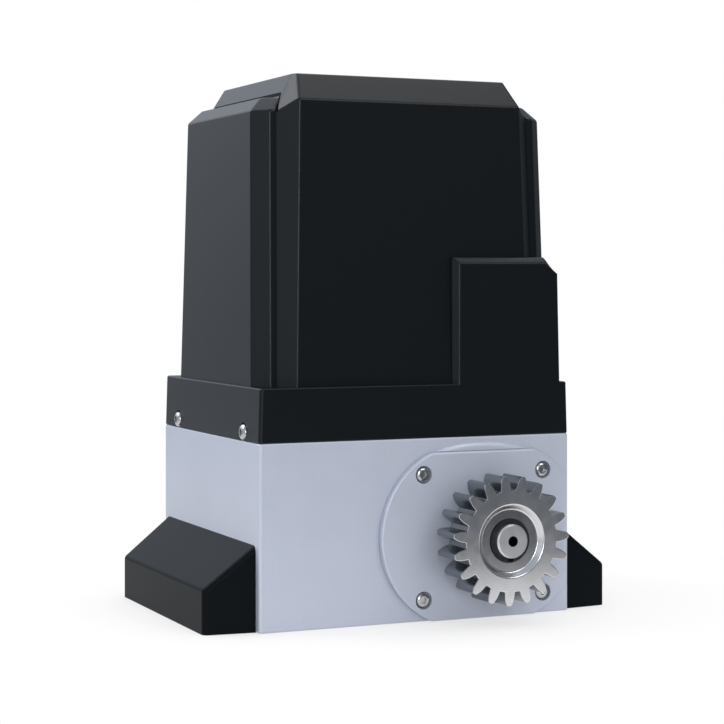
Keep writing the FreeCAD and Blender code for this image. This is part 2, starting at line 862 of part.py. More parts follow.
def make_cover_plate_gasket():
    piece = Piece("cover_plate_gasket")
    piece.add([plate_outline(S.gasket_inset), Circle(0, 0, S.spigot_radius)], 0, S.gasket_thick)
    places = four_places(S.plate_screw_across / 2, plate_screw_half)
    piece.cut(circles(places, S.screw_radius + S.hole_play), 0, S.gasket_thick)
    piece.place(axis_across, -half_width, axis_height, FORWARD)


def hexagon(across, up, radius):
    return [polar(radius, 60 * side, (across, up)) for side in range(6)]


def button_screws(piece, places, seat, grip):
    """Button-head screws with hexagon sockets, their heads on the seat and pointing up from it."""
    top = seat + S.screw_head_height
    piece.add(circles(places, S.screw_radius), seat - grip, seat)
    piece.add(circles(places, S.screw_head_radius), seat, top)
    piece.dress("Fillet", S.screw_head_height * 0.6, lambda edge: on_plane(edge, 2, top.now))
    piece.cut([hexagon(across, up, S.screw_socket) for across, up in places],
              top - S.screw_head_height / 2, top)


def make_cover_plate_screws():
    piece = Piece("cover_plate_screws")
    seat = S.gasket_thick + S.plate_thick - S.counterbore_depth
    grip = seat + S.casting_wall + S.plate_screw_grip - 1
    button_screws(piece, four_places(S.plate_screw_across / 2, plate_screw_half), seat, grip)
    piece.place(axis_across, -half_width, axis_height, FORWARD)


def make_hood_screws():
    """Two screws on each side; each side is drawn upright and the four are one group."""
    piece = Piece("hood_screws")
    seat = half_length - S.hood_ledge
    grip = seat - lug_back
    top = seat + S.screw_head_height
    places = [(back, hood_screw_height) for back in side_screw_backs]
    for low, high in ((seat - grip, seat), (-seat, grip - seat)):
        piece.add(circles(places, S.screw_radius), low, high, "YZ_Plane")
    for low, high in ((seat, top), (-top, -seat)):
        piece.add(circles(places, S.screw_head_radius), low, high, "YZ_Plane")
    piece.dress("Fillet", S.screw_head_height * 0.6,
                lambda edge: on_plane(edge, 0, top.now) or on_plane(edge, 0, -top.now))
    socket = [hexagon(across, up, S.screw_socket) for across, up in places]
    piece.cut(socket, top - S.screw_head_height / 2, top, "YZ_Plane")
    piece.cut(socket, -top, S.screw_head_height / 2 - top, "YZ_Plane")
    piece.place()


def make_output_oil_seal():
    piece = Piece("output_oil_seal")
    lip = S.shaft_radius + S.running_play
    front = S.gasket_thick + S.plate_thick - S.moving_gap
    rear = S.moving_gap - S.front_bearing_depth
    waist = S.seal_radius - 2
    piece.turn([
        (lip, rear), (S.seal_radius, rear), (S.seal_radius, front), (lip, front),
        (lip, front - 1), (waist, front - 1.5), (waist, rear + 1.5), (lip, rear + 1),
    ])
    piece.place(axis_across, -half_width, axis_height, FORWARD)


def make_output_shaft():
    """Stepped shaft, bored from the rear for the push rod and slotted for the clutch's pin."""
    piece = Piece("output_shaft")
    rear = -half_width - shaft_rear
    shaft = S.shaft_radius
    seat = S.shaft_seat_radius
    end = S.shaft_end_reach
    groove = hub_face + S.ring_thick
    bore_end = cross_pin_at + S.clutch_travel + S.cross_pin_radius + 1
    collar_front = hub_rear - S.moving_gap
    piece.turn([
        (rod_bore, rear), (shaft, rear), (shaft, collar_front - S.collar_length),
        (S.collar_radius, collar_front - S.collar_length), (S.collar_radius, collar_front),
        (shaft, collar_front), (shaft, seat_start), (seat, seat_start),
        (seat, hub_face), (S.ring_groove_radius, hub_face), (S.ring_groove_radius, groove),
        (seat, groove), (seat, end - S.shaft_chamfer), (seat - S.shaft_chamfer, end),
        (as_size(0), end), (as_size(0), bore_end), (rod_bore, bore_end),
    ])
    half = S.cross_pin_radius + S.moving_gap
    piece.cut([rectangle(-half, half, cross_pin_at - half, cross_pin_at + S.clutch_travel + half)],
              -shaft, shaft, "YZ_Plane")
    piece.cut([Circle(0, 0, S.centre_hole_radius)], end - S.centre_hole_depth, end)
    key_low = seat - S.key_size * 0.6
    key_rear = hub_face - 2 - S.key_length
    piece.cut([rectangle(-S.key_size / 2, S.key_size / 2, key_low, shaft)], key_rear, hub_face - 2)
    piece.place(axis_across, -half_width, axis_height, FORWARD)


def make_pinion_key():
    piece = Piece("pinion_key")
    low = S.shaft_seat_radius - S.key_size * 0.6
    piece.add([rectangle(-S.key_size / 2, S.key_size / 2, low, low + S.key_size)],
              hub_face - 2 - S.key_length, hub_face - 2)
    piece.place(axis_across, -half_width, axis_height, FORWARD)


def make_pinion():
    """Spur pinion with a hub behind it and a chamfered recess in front."""
    piece = Piece("pinion")
    tip = S.pinion_module * (S.pinion_teeth / 2 + 1)
    bore = S.shaft_seat_radius
    mouth = S.pinion_recess_radius + S.pinion_recess_depth
    piece.turn([
        (bore, seat_start), (S.pinion_hub_radius, seat_start), (S.pinion_hub_radius, pinion_rear),
        (tip, pinion_rear), (tip, S.pinion_reach), (mouth, S.pinion_reach),
        (S.pinion_recess_radius, hub_face), (bore, hub_face),
    ])
    middle = S.pinion_phase + 180 / S.pinion_teeth
    gap = piece.cut([tooth_gap(S.pinion_module, S.pinion_teeth, middle, 0)],
                    pinion_rear, S.pinion_reach)
    piece.around(gap, S.pinion_teeth)
    key_top = bore + S.key_size * 0.4
    piece.cut([rectangle(-S.key_size / 2, S.key_size / 2, as_size(0), key_top)],
              seat_start, hub_face)
    piece.place(axis_across, -half_width, axis_height, FORWARD)


def make_pinion_retaining_ring():
    """A snap ring with its gap at the bottom."""
    piece = Piece("pinion_retaining_ring")
    piece.add([Circle(0, 0, S.ring_radius), Circle(0, 0, S.ring_groove_radius)],
              hub_face, hub_face + S.ring_thick)
    piece.cut([rectangle(as_size(-2), as_size(2), -S.ring_radius, -S.ring_groove_radius / 2)],
              hub_face, hub_face + S.ring_thick)
    piece.place(axis_across, -half_width, axis_height, FORWARD)


def make_bearing(name, bore, radius, width, places):
    """A shielded ball bearing as two rings; the balls are sealed in between."""
    across, back, up, turned = places
    inner_top = bore + S.bearing_ring * 0.8
    race = radius - S.bearing_ring
    lip = inner_top + S.moving_gap
    shield = as_size(1)
    outer = Piece(name + "_outer")
    outer.turn([
        (lip, as_size(0)), (radius, as_size(0)), (radius, width), (lip, width),
        (lip, width - shield), (race, width - shield), (race, shield), (lip, shield),
    ])
    outer.place(across, back, up, turned)
    inner = Piece(name + "_inner")
    inner.turn([(bore, as_size(0)), (inner_top, as_size(0)), (inner_top, width), (bore, width)])
    inner.place(across, back, up, turned)


def make_bearings():
    front_rear = -S.front_bearing_depth - S.bearing_width
    for name, lift in (("front_bearing", front_rear), ("rear_bearing", rear_bearing_rear)):
        make_bearing(name, S.shaft_radius, S.bearing_radius, S.bearing_width,
                     (axis_across, -half_width - lift, axis_height, FORWARD))
    rows = (
        ("worm_lower_bearing", S.lower_seat_radius, S.lower_bearing_radius,
         S.lower_bearing_width, S.lower_bearing_base),
        ("worm_upper_bearing", S.worm_neck_radius, S.upper_bearing_radius,
         S.upper_bearing_width, upper_bearing_base),
        ("motor_top_bearing", S.lower_seat_radius, S.top_bearing_radius,
         S.top_bearing_width, top_bearing_base),
    )
    for name, bore, radius, width, base in rows:
        make_bearing(name, bore, radius, width, (*worm_place, base, Rotation()))


def make_worm_wheel():
    """Bronze wheel: oblique tooth gaps that follow the worm's lead, and dogs on its front face."""
    piece = Piece("worm_wheel")
    tip = S.worm_module * (S.wheel_teeth / 2 + 1)
    bore = S.shaft_radius + S.running_play + S.bush_wall
    piece.turn([
        (bore, hub_rear), (S.wheel_hub_radius, hub_rear), (S.wheel_hub_radius, wheel_rear),
        (tip, wheel_rear), (tip, wheel_front), (bore, wheel_front),
    ])
    lead_slope = worm_lead / (S.worm_pitch_diameter * math.pi)
    outline = tooth_gap(S.worm_module, S.wheel_teeth, 180, S.wheel_widening,
                        lead_slope * S.wheel_face / 2)
    gap = piece.cut([outline], wheel_rear, wheel_front)
    gap.UseCustomVector = True
    gap.Direction = Vector(0, -lead_slope.now, 1)
    gap.AlongSketchNormal = True
    gap.Reversed = False
    piece.around(gap, S.wheel_teeth)
    dog = piece.add([sector(S.dog_inner, S.dog_outer, as_size(45), S.dog_angle)],
                    wheel_front, wheel_front + S.dog_height)
    piece.around(dog, 4)
    piece.place(axis_across, -half_width, axis_height, FORWARD)


def make_wheel_bush():
    piece = Piece("wheel_bush")
    bore = S.shaft_radius + S.running_play
    piece.add([Circle(0, 0, bore + S.bush_wall), Circle(0, 0, bore)], hub_rear, wheel_front)
    piece.place(axis_across, -half_width, axis_height, FORWARD)


def make_clutch_ring():
    """Sliding ring with dogs on its rear face and a cross hole for its pin."""
    piece = Piece("clutch_ring")
    bore = S.shaft_radius + S.running_play
    piece.add([Circle(0, 0, S.clutch_radius), Circle(0, 0, bore)], clutch_rear, clutch_front)
    dog = piece.add([sector(S.dog_inner, S.dog_outer, as_size(0), S.dog_angle)],
                    clutch_rear - S.dog_height, clutch_rear)
    piece.around(dog, 4)
    piece.cut([Circle(0, cross_pin_at, S.cross_pin_radius)],
              -S.clutch_radius, S.clutch_radius, "YZ_Plane")
    piece.place(axis_across, -half_width, axis_height, FORWARD)


def make_clutch_cross_pin():
    piece = Piece("clutch_cross_pin")
    half = S.cross_pin_length / 2
    piece.add([Circle(0, cross_pin_at, S.cross_pin_radius)], -half, half, "YZ_Plane")
    piece.place(axis_across, -half_width, axis_height, FORWARD)


def make_clutch_spring():
    piece = Piece("clutch_spring")
    wire = S.spring_wire / 2
    rise = S.spring_room - 2 * wire - 2 * S.running_play
    start = clutch_front + wire + S.running_play
    piece.helix(Circle(S.spring_radius, start, wire), rise / S.spring_turns, rise)
    piece.place(axis_across, -half_width, axis_height, FORWARD)


def make_spring_seat():
    piece = Piece("spring_seat")
    piece.add([Circle(0, 0, S.spring_seat_radius), Circle(0, 0, S.shaft_radius)],
              spring_seat_rear, spring_seat_rear + S.spring_seat_thick)
    piece.place(axis_across, -half_width, axis_height, FORWARD)


def make_push_rod():
    piece = Piece("push_rod")
    piece.add([Circle(0, 0, S.rod_radius)], rod_rear, rod_front)
    piece.place(axis_across, -half_width, axis_height, FORWARD)


def make_release_lever():
    """Flush lever in the rear recess; the eccentric cam at its pivot works the push rod."""
    piece = Piece("release_lever")
    inside = S.pivot_inset - S.lever_thick
    low = recess_low + S.lever_play
    high = recess_high - S.lever_play
    piece.add([rounded(-S.lever_reach, S.lever_heel, low, high, S.lever_corner)],
              -S.pivot_inset, -inside, "XZ_Plane")
    piece.add([Circle(cam_lift, cam_lift, S.cam_radius)], cam_low, cam_high)
    piece.cut([Circle(0, 0, S.pivot_radius + S.running_play)], cam_low, cam_high)
    piece.cut([Circle(-S.lock_offset, axis_height, S.lock_radius + S.running_play)],
              -S.pivot_inset, -inside, "XZ_Plane")
    piece.place(pivot_across, pivot_back)


def make_lock_plug():
    """Round plug with a key slot outside and a tongue behind the lever."""
    piece = Piece("lock_plug")
    inside = S.pivot_inset - S.lever_thick
    behind = inside - S.moving_gap
    piece.add([Circle(0, 0, S.lock_radius)], -S.pivot_inset, -inside, "XZ_Plane")
    piece.add([Circle(0, 0, S.tongue_half)], -inside, S.tongue_thick - behind, "XZ_Plane")
    piece.add([rectangle(-S.tongue_half, S.tongue_length, -S.tongue_half, S.tongue_half)],
              -behind, S.tongue_thick - behind, "XZ_Plane")
    half = S.key_slot_length / 2
    piece.cut([rectangle(-S.key_slot_half, S.key_slot_half, -half, half)],
              -S.pivot_inset, S.lever_thick / 2 - S.pivot_inset, "XZ_Plane")
    piece.place(pivot_across - S.lock_offset, pivot_back, axis_height)


def make_release_pivot_pin():
    piece = Piece("release_pivot_pin")
    piece.add([Circle(0, 0, S.pivot_radius)],
              recess_low - S.recess_wall, recess_high + S.recess_wall)
    piece.place(pivot_across, pivot_back)


def make_worm_shaft():
    """Motor shaft and single-start worm in one piece."""
    piece = Piece("worm_shaft")
    low = S.lower_bearing_base + S.moving_gap
    lower_top = S.lower_bearing_base + S.lower_bearing_width
    pitch = S.worm_pitch_diameter / 2
    core = pitch - 1.25 * S.worm_module
    worm_low = axis_height - S.worm_length / 2
    worm_high = axis_height + S.worm_length / 2
    neck = S.worm_neck_radius
    upper_top = upper_bearing_base + S.upper_bearing_width
    rotor_start = flange_top + 2
    rotor_end = bell_low - 2
    top = top_bearing_base + S.top_bearing_width
    piece.turn([
        (as_size(0), low), (S.lower_seat_radius, low), (S.lower_seat_radius, lower_top),
        (neck, lower_top), (neck, worm_low), (core, worm_low), (core, worm_high), (neck, worm_high),
        (neck, upper_bearing_base - 6), (S.upper_shoulder_radius, upper_bearing_base - 6),
        (S.upper_shoulder_radius, upper_bearing_base), (neck, upper_bearing_base),
        (neck, upper_top), (neck, rotor_start), (S.rotor_bore, rotor_start),
        (S.rotor_bore, rotor_end), (S.lower_seat_radius, rotor_end), (S.lower_seat_radius, top),
        (as_size(0), top),
    ])
    turns_below = 2
    middle = axis_height - turns_below * worm_lead
    half = (worm_lead / 2 - S.thread_thinning) / 2
    slope = tangent(S.pressure_angle)
    sunk = 1.25 * S.worm_module + 0.3
    tip = pitch + S.worm_module
    tip_half = half - S.worm_module * slope
    sunk_half = half + sunk * slope
    thread = [
        (pitch - sunk, middle - sunk_half), (tip, middle - tip_half),
        (tip, middle + tip_half), (pitch - sunk, middle + sunk_half),
    ]
    piece.helix(thread, worm_lead, 2 * turns_below * worm_lead)
    piece.place(*worm_place)


def lug_notches():
    """Room in the lid and its gasket for the hood's screw lugs."""
    half = S.lug_half + S.moving_gap
    outside = chamber_right + S.flange_overlap + 1
    return [rectangle(lug_back - S.moving_gap, outside, back - half, back + half)
            for back in side_screw_backs]


def make_motor_flange():
    """Lid of the gear chamber: carries the upper worm bearing below and the stator above."""
    piece = Piece("motor_flange")
    over = S.flange_overlap
    piece.add([rounded(chamber_left - over, chamber_right + over,
                       chamber_front - over, rear_inside + over, over)], flange_low, flange_top)
    piece.add([Circle(*worm_place, S.upper_boss_radius)], upper_bearing_base, flange_low)
    piece.add([Circle(*worm_place, S.motor_radius), Circle(*worm_place, S.motor_shell_inner)],
              flange_top, stator_low)
    bearing_top = upper_bearing_base + S.upper_bearing_width
    piece.cut([Circle(*worm_place, S.upper_bearing_radius)], upper_bearing_base, bearing_top)
    piece.cut([Circle(*worm_place, S.upper_shoulder_radius)], bearing_top, flange_top)
    piece.cut(circles(flange_screw_places, S.screw_radius + S.hole_play), flange_low, flange_top)
    piece.cut(circles(tie_places, S.tie_radius + S.thread_play), flange_low, stator_low)
    piece.cut(lug_notches(), flange_low, flange_top)
    piece.place()


def make_motor_flange_gasket():
    piece = Piece("motor_flange_gasket")
    over = S.flange_overlap
    outside = rounded(chamber_left - over, chamber_right + over,
                      chamber_front - over, rear_inside + over, over)
    chamber = rectangle(chamber_left, chamber_right, chamber_front, bulkhead_front)
    rear = rectangle(chamber_left, chamber_right, bulkhead_rear, rear_inside)
    piece.add([outside, chamber, rear], S.base_height, flange_low)
    piece.cut(lug_notches(), S.base_height, flange_low)
    piece.place()


def make_motor_flange_screws():
    piece = Piece("motor_flange_screws")
    piece.add(circles(flange_screw_places, S.screw_radius),
              flange_top - S.flange_screw_length, flange_top)
    piece.add(circles(flange_screw_places, S.screw_head_radius),
              flange_top, flange_top + S.screw_radius * 2)
    piece.cut([hexagon(across, back, S.screw_socket) for across, back in flange_screw_places],
              flange_top + S.screw_radius, flange_top + S.screw_radius * 2)
    piece.place()


def make_stator_core():
    piece = Piece("stator_core")
    piece.add([Circle(0, 0, S.motor_radius), Circle(0, 0, S.stator_bore)], stator_low, stator_high)
    half = S.slot_width / 2
    slot_cut = piece.cut([rectangle(S.slot_inner, S.slot_outer, -half, half)],
                         stator_low, stator_high)
    piece.around(slot_cut, S.slot_count)
    piece.cut(circles([polar(S.tie_circle, 45 + 90 * quarter) for quarter in range(4)],
                      S.tie_radius + S.hole_play), stator_low, stator_high)
    piece.place(*worm_place)


def make_stator_windings():
    """End turns above and below, joined by the bundles in the slots."""
    piece = Piece("stator_windings")
    inner = S.slot_inner + S.coil_play
    outer = S.slot_outer - S.coil_play
    ring = [Circle(0, 0, outer), Circle(0, 0, inner)]
    piece.add(ring, stator_low - S.coil_height, stator_low)
    half = S.slot_width / 2 - S.coil_play
    bundle = piece.add([rectangle(inner + 1, outer - 1, -half, half)], stator_low, stator_high)
    piece.around(bundle, S.slot_count)
    piece.add(ring, stator_high, stator_high + S.coil_height)
    piece.place(*worm_place)


def make_rotor_core():
    piece = Piece("rotor_core")
    radius = S.stator_bore - S.rotor_gap
    piece.add([Circle(0, 0, radius), Circle(0, 0, S.rotor_bore)], stator_low, stator_high)
    piece.place(*worm_place)


def make_motor_end_bell():
    """Upper end bell with the seat of the top bearing under its cap."""
    piece = Piece("motor_end_bell")
    piece.add([Circle(0, 0, S.motor_radius), Circle(0, 0, S.motor_shell_inner)],
              stator_high, bell_low)
    bearing_top = top_bearing_base + S.top_bearing_width
    piece.add([Circle(0, 0, S.motor_radius)], bell_low, bell_high)
    piece.add([Circle(0, 0, S.bell_boss_radius)], bell_high, bearing_top + S.bell_cap)
    piece.cut([Circle(0, 0, S.top_bearing_radius)], bell_low, bearing_top)
    piece.cut(circles([polar(S.tie_circle, 45 + 90 * quarter) for quarter in range(4)],
                      S.tie_radius + S.hole_play), stator_high, bell_high)
    piece.place(*worm_place)


def make_motor_tie_bolts():
    piece = Piece("motor_tie_bolts")
    piece.add(circles(tie_places, S.tie_radius), flange_low + 2, bell_high)
    piece.add([hexagon(across, back, S.tie_head_radius) for across, back in tie_places],
              bell_high, bell_high + S.tie_head_height)
    piece.place()


def riser_outline(inset, right_inset):
    """The limit-sensor housing seen from the front, with its upper right corner cut off."""
    top = S.riser_height - inset
    low = S.base_height + S.skirt_height / 2
    cut_across = riser_right_high - S.riser_cut_across
    cut_down = S.riser_height - S.riser_cut_down
    slant = (inset + right_inset) / 2
    return [
        (riser_left + inset, low), (riser_right_low - right_inset, low),
        (riser_right_high - right_inset, cut_down - slant / 2),
        (cut_across - slant / 2, top), (riser_left + inset, top),
    ]


def hood_sections(inset, start, shoulder):
    """The nested octagons of the tower and of its side pads, from low to high."""
    corner = S.tower_corner - inset * 0.4
    tower = [
        (octagon(tower_half_length_low - inset, tower_half_width_low - inset, corner), start),
        (octagon(tower_half_length_high - inset, tower_half_width_high - inset, corner),
         shoulder - inset * 0.4),
        (octagon(tower_half_length_top - inset * 0.6, tower_half_width_top - inset * 0.6,
                 S.tower_corner_top), S.hood_height - inset),
    ]
    edge = S.pad_chamfer
    corner = S.pad_corner - inset * 0.4
    pad = [
        (octagon(pad_half_length_low - inset, pad_half_width_low - inset, corner), start),
        (octagon(pad_half_length_high - inset, pad_half_width_high - inset, corner),
         pad_shoulder - inset * 0.4),
        (octagon(pad_half_length_high - edge - inset * 0.6, pad_half_width_high - edge - inset,
                 corner * 0.6), pad_shoulder + edge - inset),
    ]
    return tower, pad


def cut_tower_facets(piece):
    """The tower's ends slope from lower down than its front, so each corner ends in a slanting facet."""
    above = S.hood_height + 1
    outside = tower_half_length_high + S.tower_spare
    end = tower_half_length_high + 0.4
    for side in (-1, 1):
        piece.cut([[
            (end * side, tower_side_shoulder), (tower_half_length_top * side, S.hood_height),
            (tower_half_length_top * side, above), (outside * side, above),
            (outside * side, tower_side_shoulder),
        ]], -half_width, half_width, "XZ_Plane")
    turn = S.tower_facet_turn
    low_reach = end + (tower_half_width_high + 0.3 - S.tower_corner) / turn
    top_reach = tower_half_length_top + (tower_half_width_top - S.tower_facet_setback) / turn
    above_reach = top_reach - (low_reach - top_reach) / S.tower_side_drop
    near = S.tower_spare
    far = half_width + 1
    for side in (-1, 1):
        for face in (-1, 1):
            sections = []
            for reach, lift in ((low_reach, tower_side_shoulder), (above_reach, above)):
                inner = reach - near / turn
                sections.append(([(inner * side, near * face), ((reach - far / turn) * side, far * face),
                                  (inner * side, far * face)], lift))
            piece.loft(sections, kind="SubtractiveLoft")


def make_hood():
    """One moulding: skirt, tapered tower, stepped side pads and the limit-sensor riser."""
    piece = Piece("hood")
    top_half = half_length - S.skirt_lean
    piece.loft([(rounded(-half_length, half_length, -half_width, half_width, S.skirt_corner), S.base_height),
                (rounded(-top_half, top_half, -half_width, half_width, S.skirt_corner), skirt_top)])
    start = skirt_top - S.hood_wall
    tower, pad = hood_sections(as_size(0), start, tower_shoulder)
    piece.loft(tower)
    cut_tower_facets(piece)
    piece.loft(pad)
    riser_shoulder = riser_front - S.riser_chamfer
    riser = riser_outline(as_size(0), as_size(0))
    piece.add([riser], S.riser_back, riser_shoulder, "XZ_Plane")
    piece.loft([(riser, riser_shoulder), (riser_outline(S.riser_chamfer, as_size(0)), riser_front)],
               "XZ_Plane")
    inner_length = half_length - S.hood_wall
    inner_width = half_width - S.hood_wall
    piece.cut([rounded(-inner_length, inner_length, -inner_width, inner_width,
                       S.skirt_corner - 1)], S.base_height, start)
    tower, pad = hood_sections(S.hood_wall, start - 1, tower_side_shoulder)
    piece.loft(tower, kind="SubtractiveLoft")
    piece.loft(pad, kind="SubtractiveLoft")
    piece.cut([riser_outline(S.hood_wall, S.hood_wall)], S.riser_back - S.hood_wall,
              riser_front - S.hood_wall, "XZ_Plane")
    for low, high in ((half_length - S.hood_ledge, half_length + 1),
                      (-half_length - 1, S.hood_ledge - half_length)):
        piece.cut(circles([(back, hood_screw_height) for back in side_screw_backs],
                          S.hood_notch_radius), low, high, "YZ_Plane")
    for low, high in ((inner_length, half_length), (-half_length, -inner_length)):
        piece.cut([open_slot(back) for back in side_screw_backs], low, high, "YZ_Plane")
    piece.place()


def open_slot(back):
    """A round-topped slot in the skirt, open at its lower edge, for a screw's shank."""
    half = S.screw_radius + S.hole_play
    up = hood_screw_height
    return [
        (back - half, S.base_height), (back + half, S.base_height), (back + half, up),
        Through((as_size(back), up + half)), (back - half, up),
    ]


def make_foot_cover(name, turned):
    """Hollow cover over the anchor flange, sloping down and tapering outwards."""
    piece = Piece(name)
    near = -half_length
    far = -half_length - S.foot_reach
    wall = S.foot_wall

    def section(half, height, drop):
        return rectangle(-half, half, as_size(0) - drop, height)

    piece.loft([
        (section(S.foot_inner_half, S.foot_inner_height, 0), near),
        (section(S.foot_outer_half, S.foot_outer_height, 0), far),
    ], "YZ_Plane")

    def outer_edge(edge):
        return not on_plane(edge, 2, 0) and not on_plane(edge, 0, near.now)

    piece.dress("Fillet", S.foot_edge, outer_edge)
    piece.loft([
        (section(S.foot_inner_half - wall, S.foot_inner_height - wall, 1), near),
        (section(S.foot_outer_half - wall, S.foot_outer_height - wall, 1), far + wall),
    ], "YZ_Plane", "SubtractiveLoft")
    piece.place(turned=turned)


def make_electronics_bracket():
    """Folded sheet: a foot on the casting's divider and an upright beside the motor."""
    piece = Piece("electronics_bracket")
    left = bracket_left
    thick = S.bracket_thick
    low = S.base_height
    foot_end = chamber_left - S.flange_overlap - S.moving_gap
    piece.add([[
        (left, low), (foot_end, low), (foot_end, low + thick), (left + thick, low + thick),
        (left + thick, bracket_top), (left, bracket_top),
    ]], -S.bracket_back, -S.bracket_front, "XZ_Plane")
    piece.place()


board_front = S.bracket_front + S.board_margin
board_back = S.bracket_back - S.board_margin
board_high = bracket_top - S.board_margin
board_inner = bracket_left - S.board_gap
board_outer = board_inner - S.board_thick
standoff_places = four_places((board_back - board_front) / 2 - S.board_margin,
                              (board_high - board_low) / 2 - S.board_margin,
                              ((board_front + board_back) / 2, (board_low + board_high) / 2))


def make_board_standoffs():
    piece = Piece("board_standoffs")
    piece.add(circles(standoff_places, S.standoff_radius), board_inner, bracket_left, "YZ_Plane")
    piece.place()


def make_control_board():
    piece = Piece("control_board")
    piece.add([rectangle(board_front, board_back, board_low, board_high)],
              board_outer, board_inner, "YZ_Plane")
    piece.place()


def make_terminal_blocks():
    """Two rows of wire terminals along the board's lower edge."""
    piece = Piece("terminal_blocks")
    low = board_low + S.board_margin * 2
    starts = (board_front + 4, board_back - 4 - S.terminal_width)
    outer = board_outer - S.terminal_depth
    piece.add([rectangle(start, start + S.terminal_width, low, low + S.terminal_height)
               for start in starts], outer, board_outer, "YZ_Plane")
    pitch = S.terminal_width / S.terminal_ways
    ways = [start + pitch * (way + 0.5) for start in starts for way in range(int(S.terminal_ways.now))]
    piece.cut(circles([(way, low + S.terminal_height / 2) for way in ways], pitch / 3),
              outer, outer + S.terminal_depth / 2, "YZ_Plane")
    piece.place()


def make_relays():
    piece = Piece("relays")
    low = board_low + S.relay_height * 1.6
    start = board_front + S.board_margin * 2
    lefts = [start + number * S.relay_pitch for number in range(int(S.relay_count.now))]
    piece.add([rectangle(left, left + S.relay_width, low, low + S.relay_height)
               for left in lefts], board_outer - S.relay_depth, board_outer, "YZ_Plane")
    piece.place()


def make_transformer_core():
    """Laminated core with two windows."""
    piece = Piece("transformer_core")
    half = S.transformer_length / 2
    thick = S.transformer_thick / 2
    limb = S.transformer_limb
    piece.add([rectangle(-half, half, -thick, thick)], 0, S.transformer_height)
    high = S.transformer_height - limb
    piece.cut([rectangle(-half + limb, -limb, limb, high), rectangle(limb, half - limb, limb, high)],
              -thick, thick, "XZ_Plane")
    piece.place(transformer_across, transformer_back, flange_top)


def make_transformer_coil():
    piece = Piece("transformer_coil")
    play = S.moving_gap
    half = S.transformer_length / 2 - S.transformer_limb - play
    thick = S.transformer_thick / 2
    outside = thick + S.coil_bulge
    limb = S.transformer_limb
    piece.add([rectangle(-half, half, -outside, outside), rectangle(-limb, limb, -thick, thick)],
              limb, S.transformer_height - limb)
    piece.place(transformer_across, transformer_back, flange_top)


def make_run_capacitor():
    piece = Piece("run_capacitor")
    piece.add([Circle(0, 0, S.capacitor_radius)], S.holder_wall, S.capacitor_height)
    high = S.capacitor_height
    piece.dress("Fillet", S.holder_wall * 0.8, lambda edge: on_plane(edge, 2, high.now))
    half, thick = S.tag_width / 2, S.tag_thick / 2
    piece.add([rectangle(middle - half, middle + half, -thick, thick)
               for middle in (-S.tag_spacing / 2, S.tag_spacing / 2)], high, high + S.tag_height)
    piece.place(capacitor_across, capacitor_back, flange_top)


def make_capacitor_holder():
    piece = Piece("capacitor_holder")
    outer = S.capacitor_radius + S.holder_wall
    piece.add([Circle(0, 0, outer + S.holder_rim)], 0, S.holder_wall)
    piece.add([Circle(0, 0, outer), Circle(0, 0, S.capacitor_radius)],
              S.holder_wall, S.holder_height)
    piece.place(capacitor_across, capacitor_back, flange_top)


def make_limit_sensor_bracket():
    piece = Piece("limit_sensor_bracket")
    front = -sensor_plane
    thick = S.bracket_thick
    piece.add([[
        (front, flange_top), (front + S.sensor_foot, flange_top),
        (front + S.sensor_foot, flange_top + thick), (front + thick, flange_top + thick),
        (front + thick, sensor_top), (front, sensor_top),
    ]], sensor_left, sensor_right, "YZ_Plane")
    piece.place()


def make_limit_sensor_board():
    piece = Piece("limit_sensor_board")
    margin = S.board_thick
    piece.add([rectangle(sensor_left + margin, sensor_right - margin,
                         sensor_board_low, sensor_top - margin)],
              sensor_plane, sensor_plane + S.board_thick, "XZ_Plane")
    piece.place()


def make_limit_sensor():
    piece = Piece("limit_sensor")
    middle = (sensor_left + sensor_right) / 2
    high = sensor_top - S.sensor_size
    half = S.sensor_size / 2
    front = sensor_plane + S.board_thick
    piece.add([rounded(middle - half, middle + half, high - S.sensor_size, high, S.board_thick)],
              front, front + S.sensor_depth, "XZ_Plane")
    piece.place()


def make_cable_grommet():
    piece = Piece("cable_grommet")
    outer = S.cable_bore + S.grommet_wall
    top = S.casting_floor + S.grommet_rim
    piece.turn([
        (S.cable_bore, as_size(0)), (outer, as_size(0)), (outer, S.casting_floor),
        (outer + S.grommet_rim, S.casting_floor), (outer + S.grommet_rim, top),
        (S.cable_bore, top),
    ])
    piece.place(cable_hole_across, S.cable_hole_back)


def build():
    make_base_casting()
    make_cover_plate_gasket()
    make_output_cover_plate()
    make_cover_plate_screws()
    make_output_oil_seal()
    make_output_shaft()
    make_pinion()
    make_pinion_key()
    make_pinion_retaining_ring()
    make_bearings()
    make_worm_wheel()
    make_wheel_bush()
    make_clutch_ring()
    make_clutch_cross_pin()
    make_clutch_spring()
    make_spring_seat()
    make_push_rod()
    make_release_lever()
    make_lock_plug()
    make_release_pivot_pin()
    make_worm_shaft()
    make_motor_flange_gasket()
    make_motor_flange()
    make_motor_flange_screws()
    make_stator_core()
    make_stator_windings()
    make_rotor_core()
    make_motor_end_bell()
    make_motor_tie_bolts()
    make_hood()
    make_hood_screws()
    make_foot_cover("left_foot_cover", Rotation())
    make_foot_cover("right_foot_cover", Rotation(Vector(0, 0, 1), 180))
    make_electronics_bracket()
    make_board_standoffs()
    make_control_board()
    make_terminal_blocks()
    make_relays()
    make_transformer_core()
    make_transformer_coil()
    make_capacitor_holder()
    make_run_capacitor()
    make_limit_sensor_bracket()
    make_limit_sensor_board()
    make_limit_sensor()
    make_cable_grommet()
    doc.recompute()


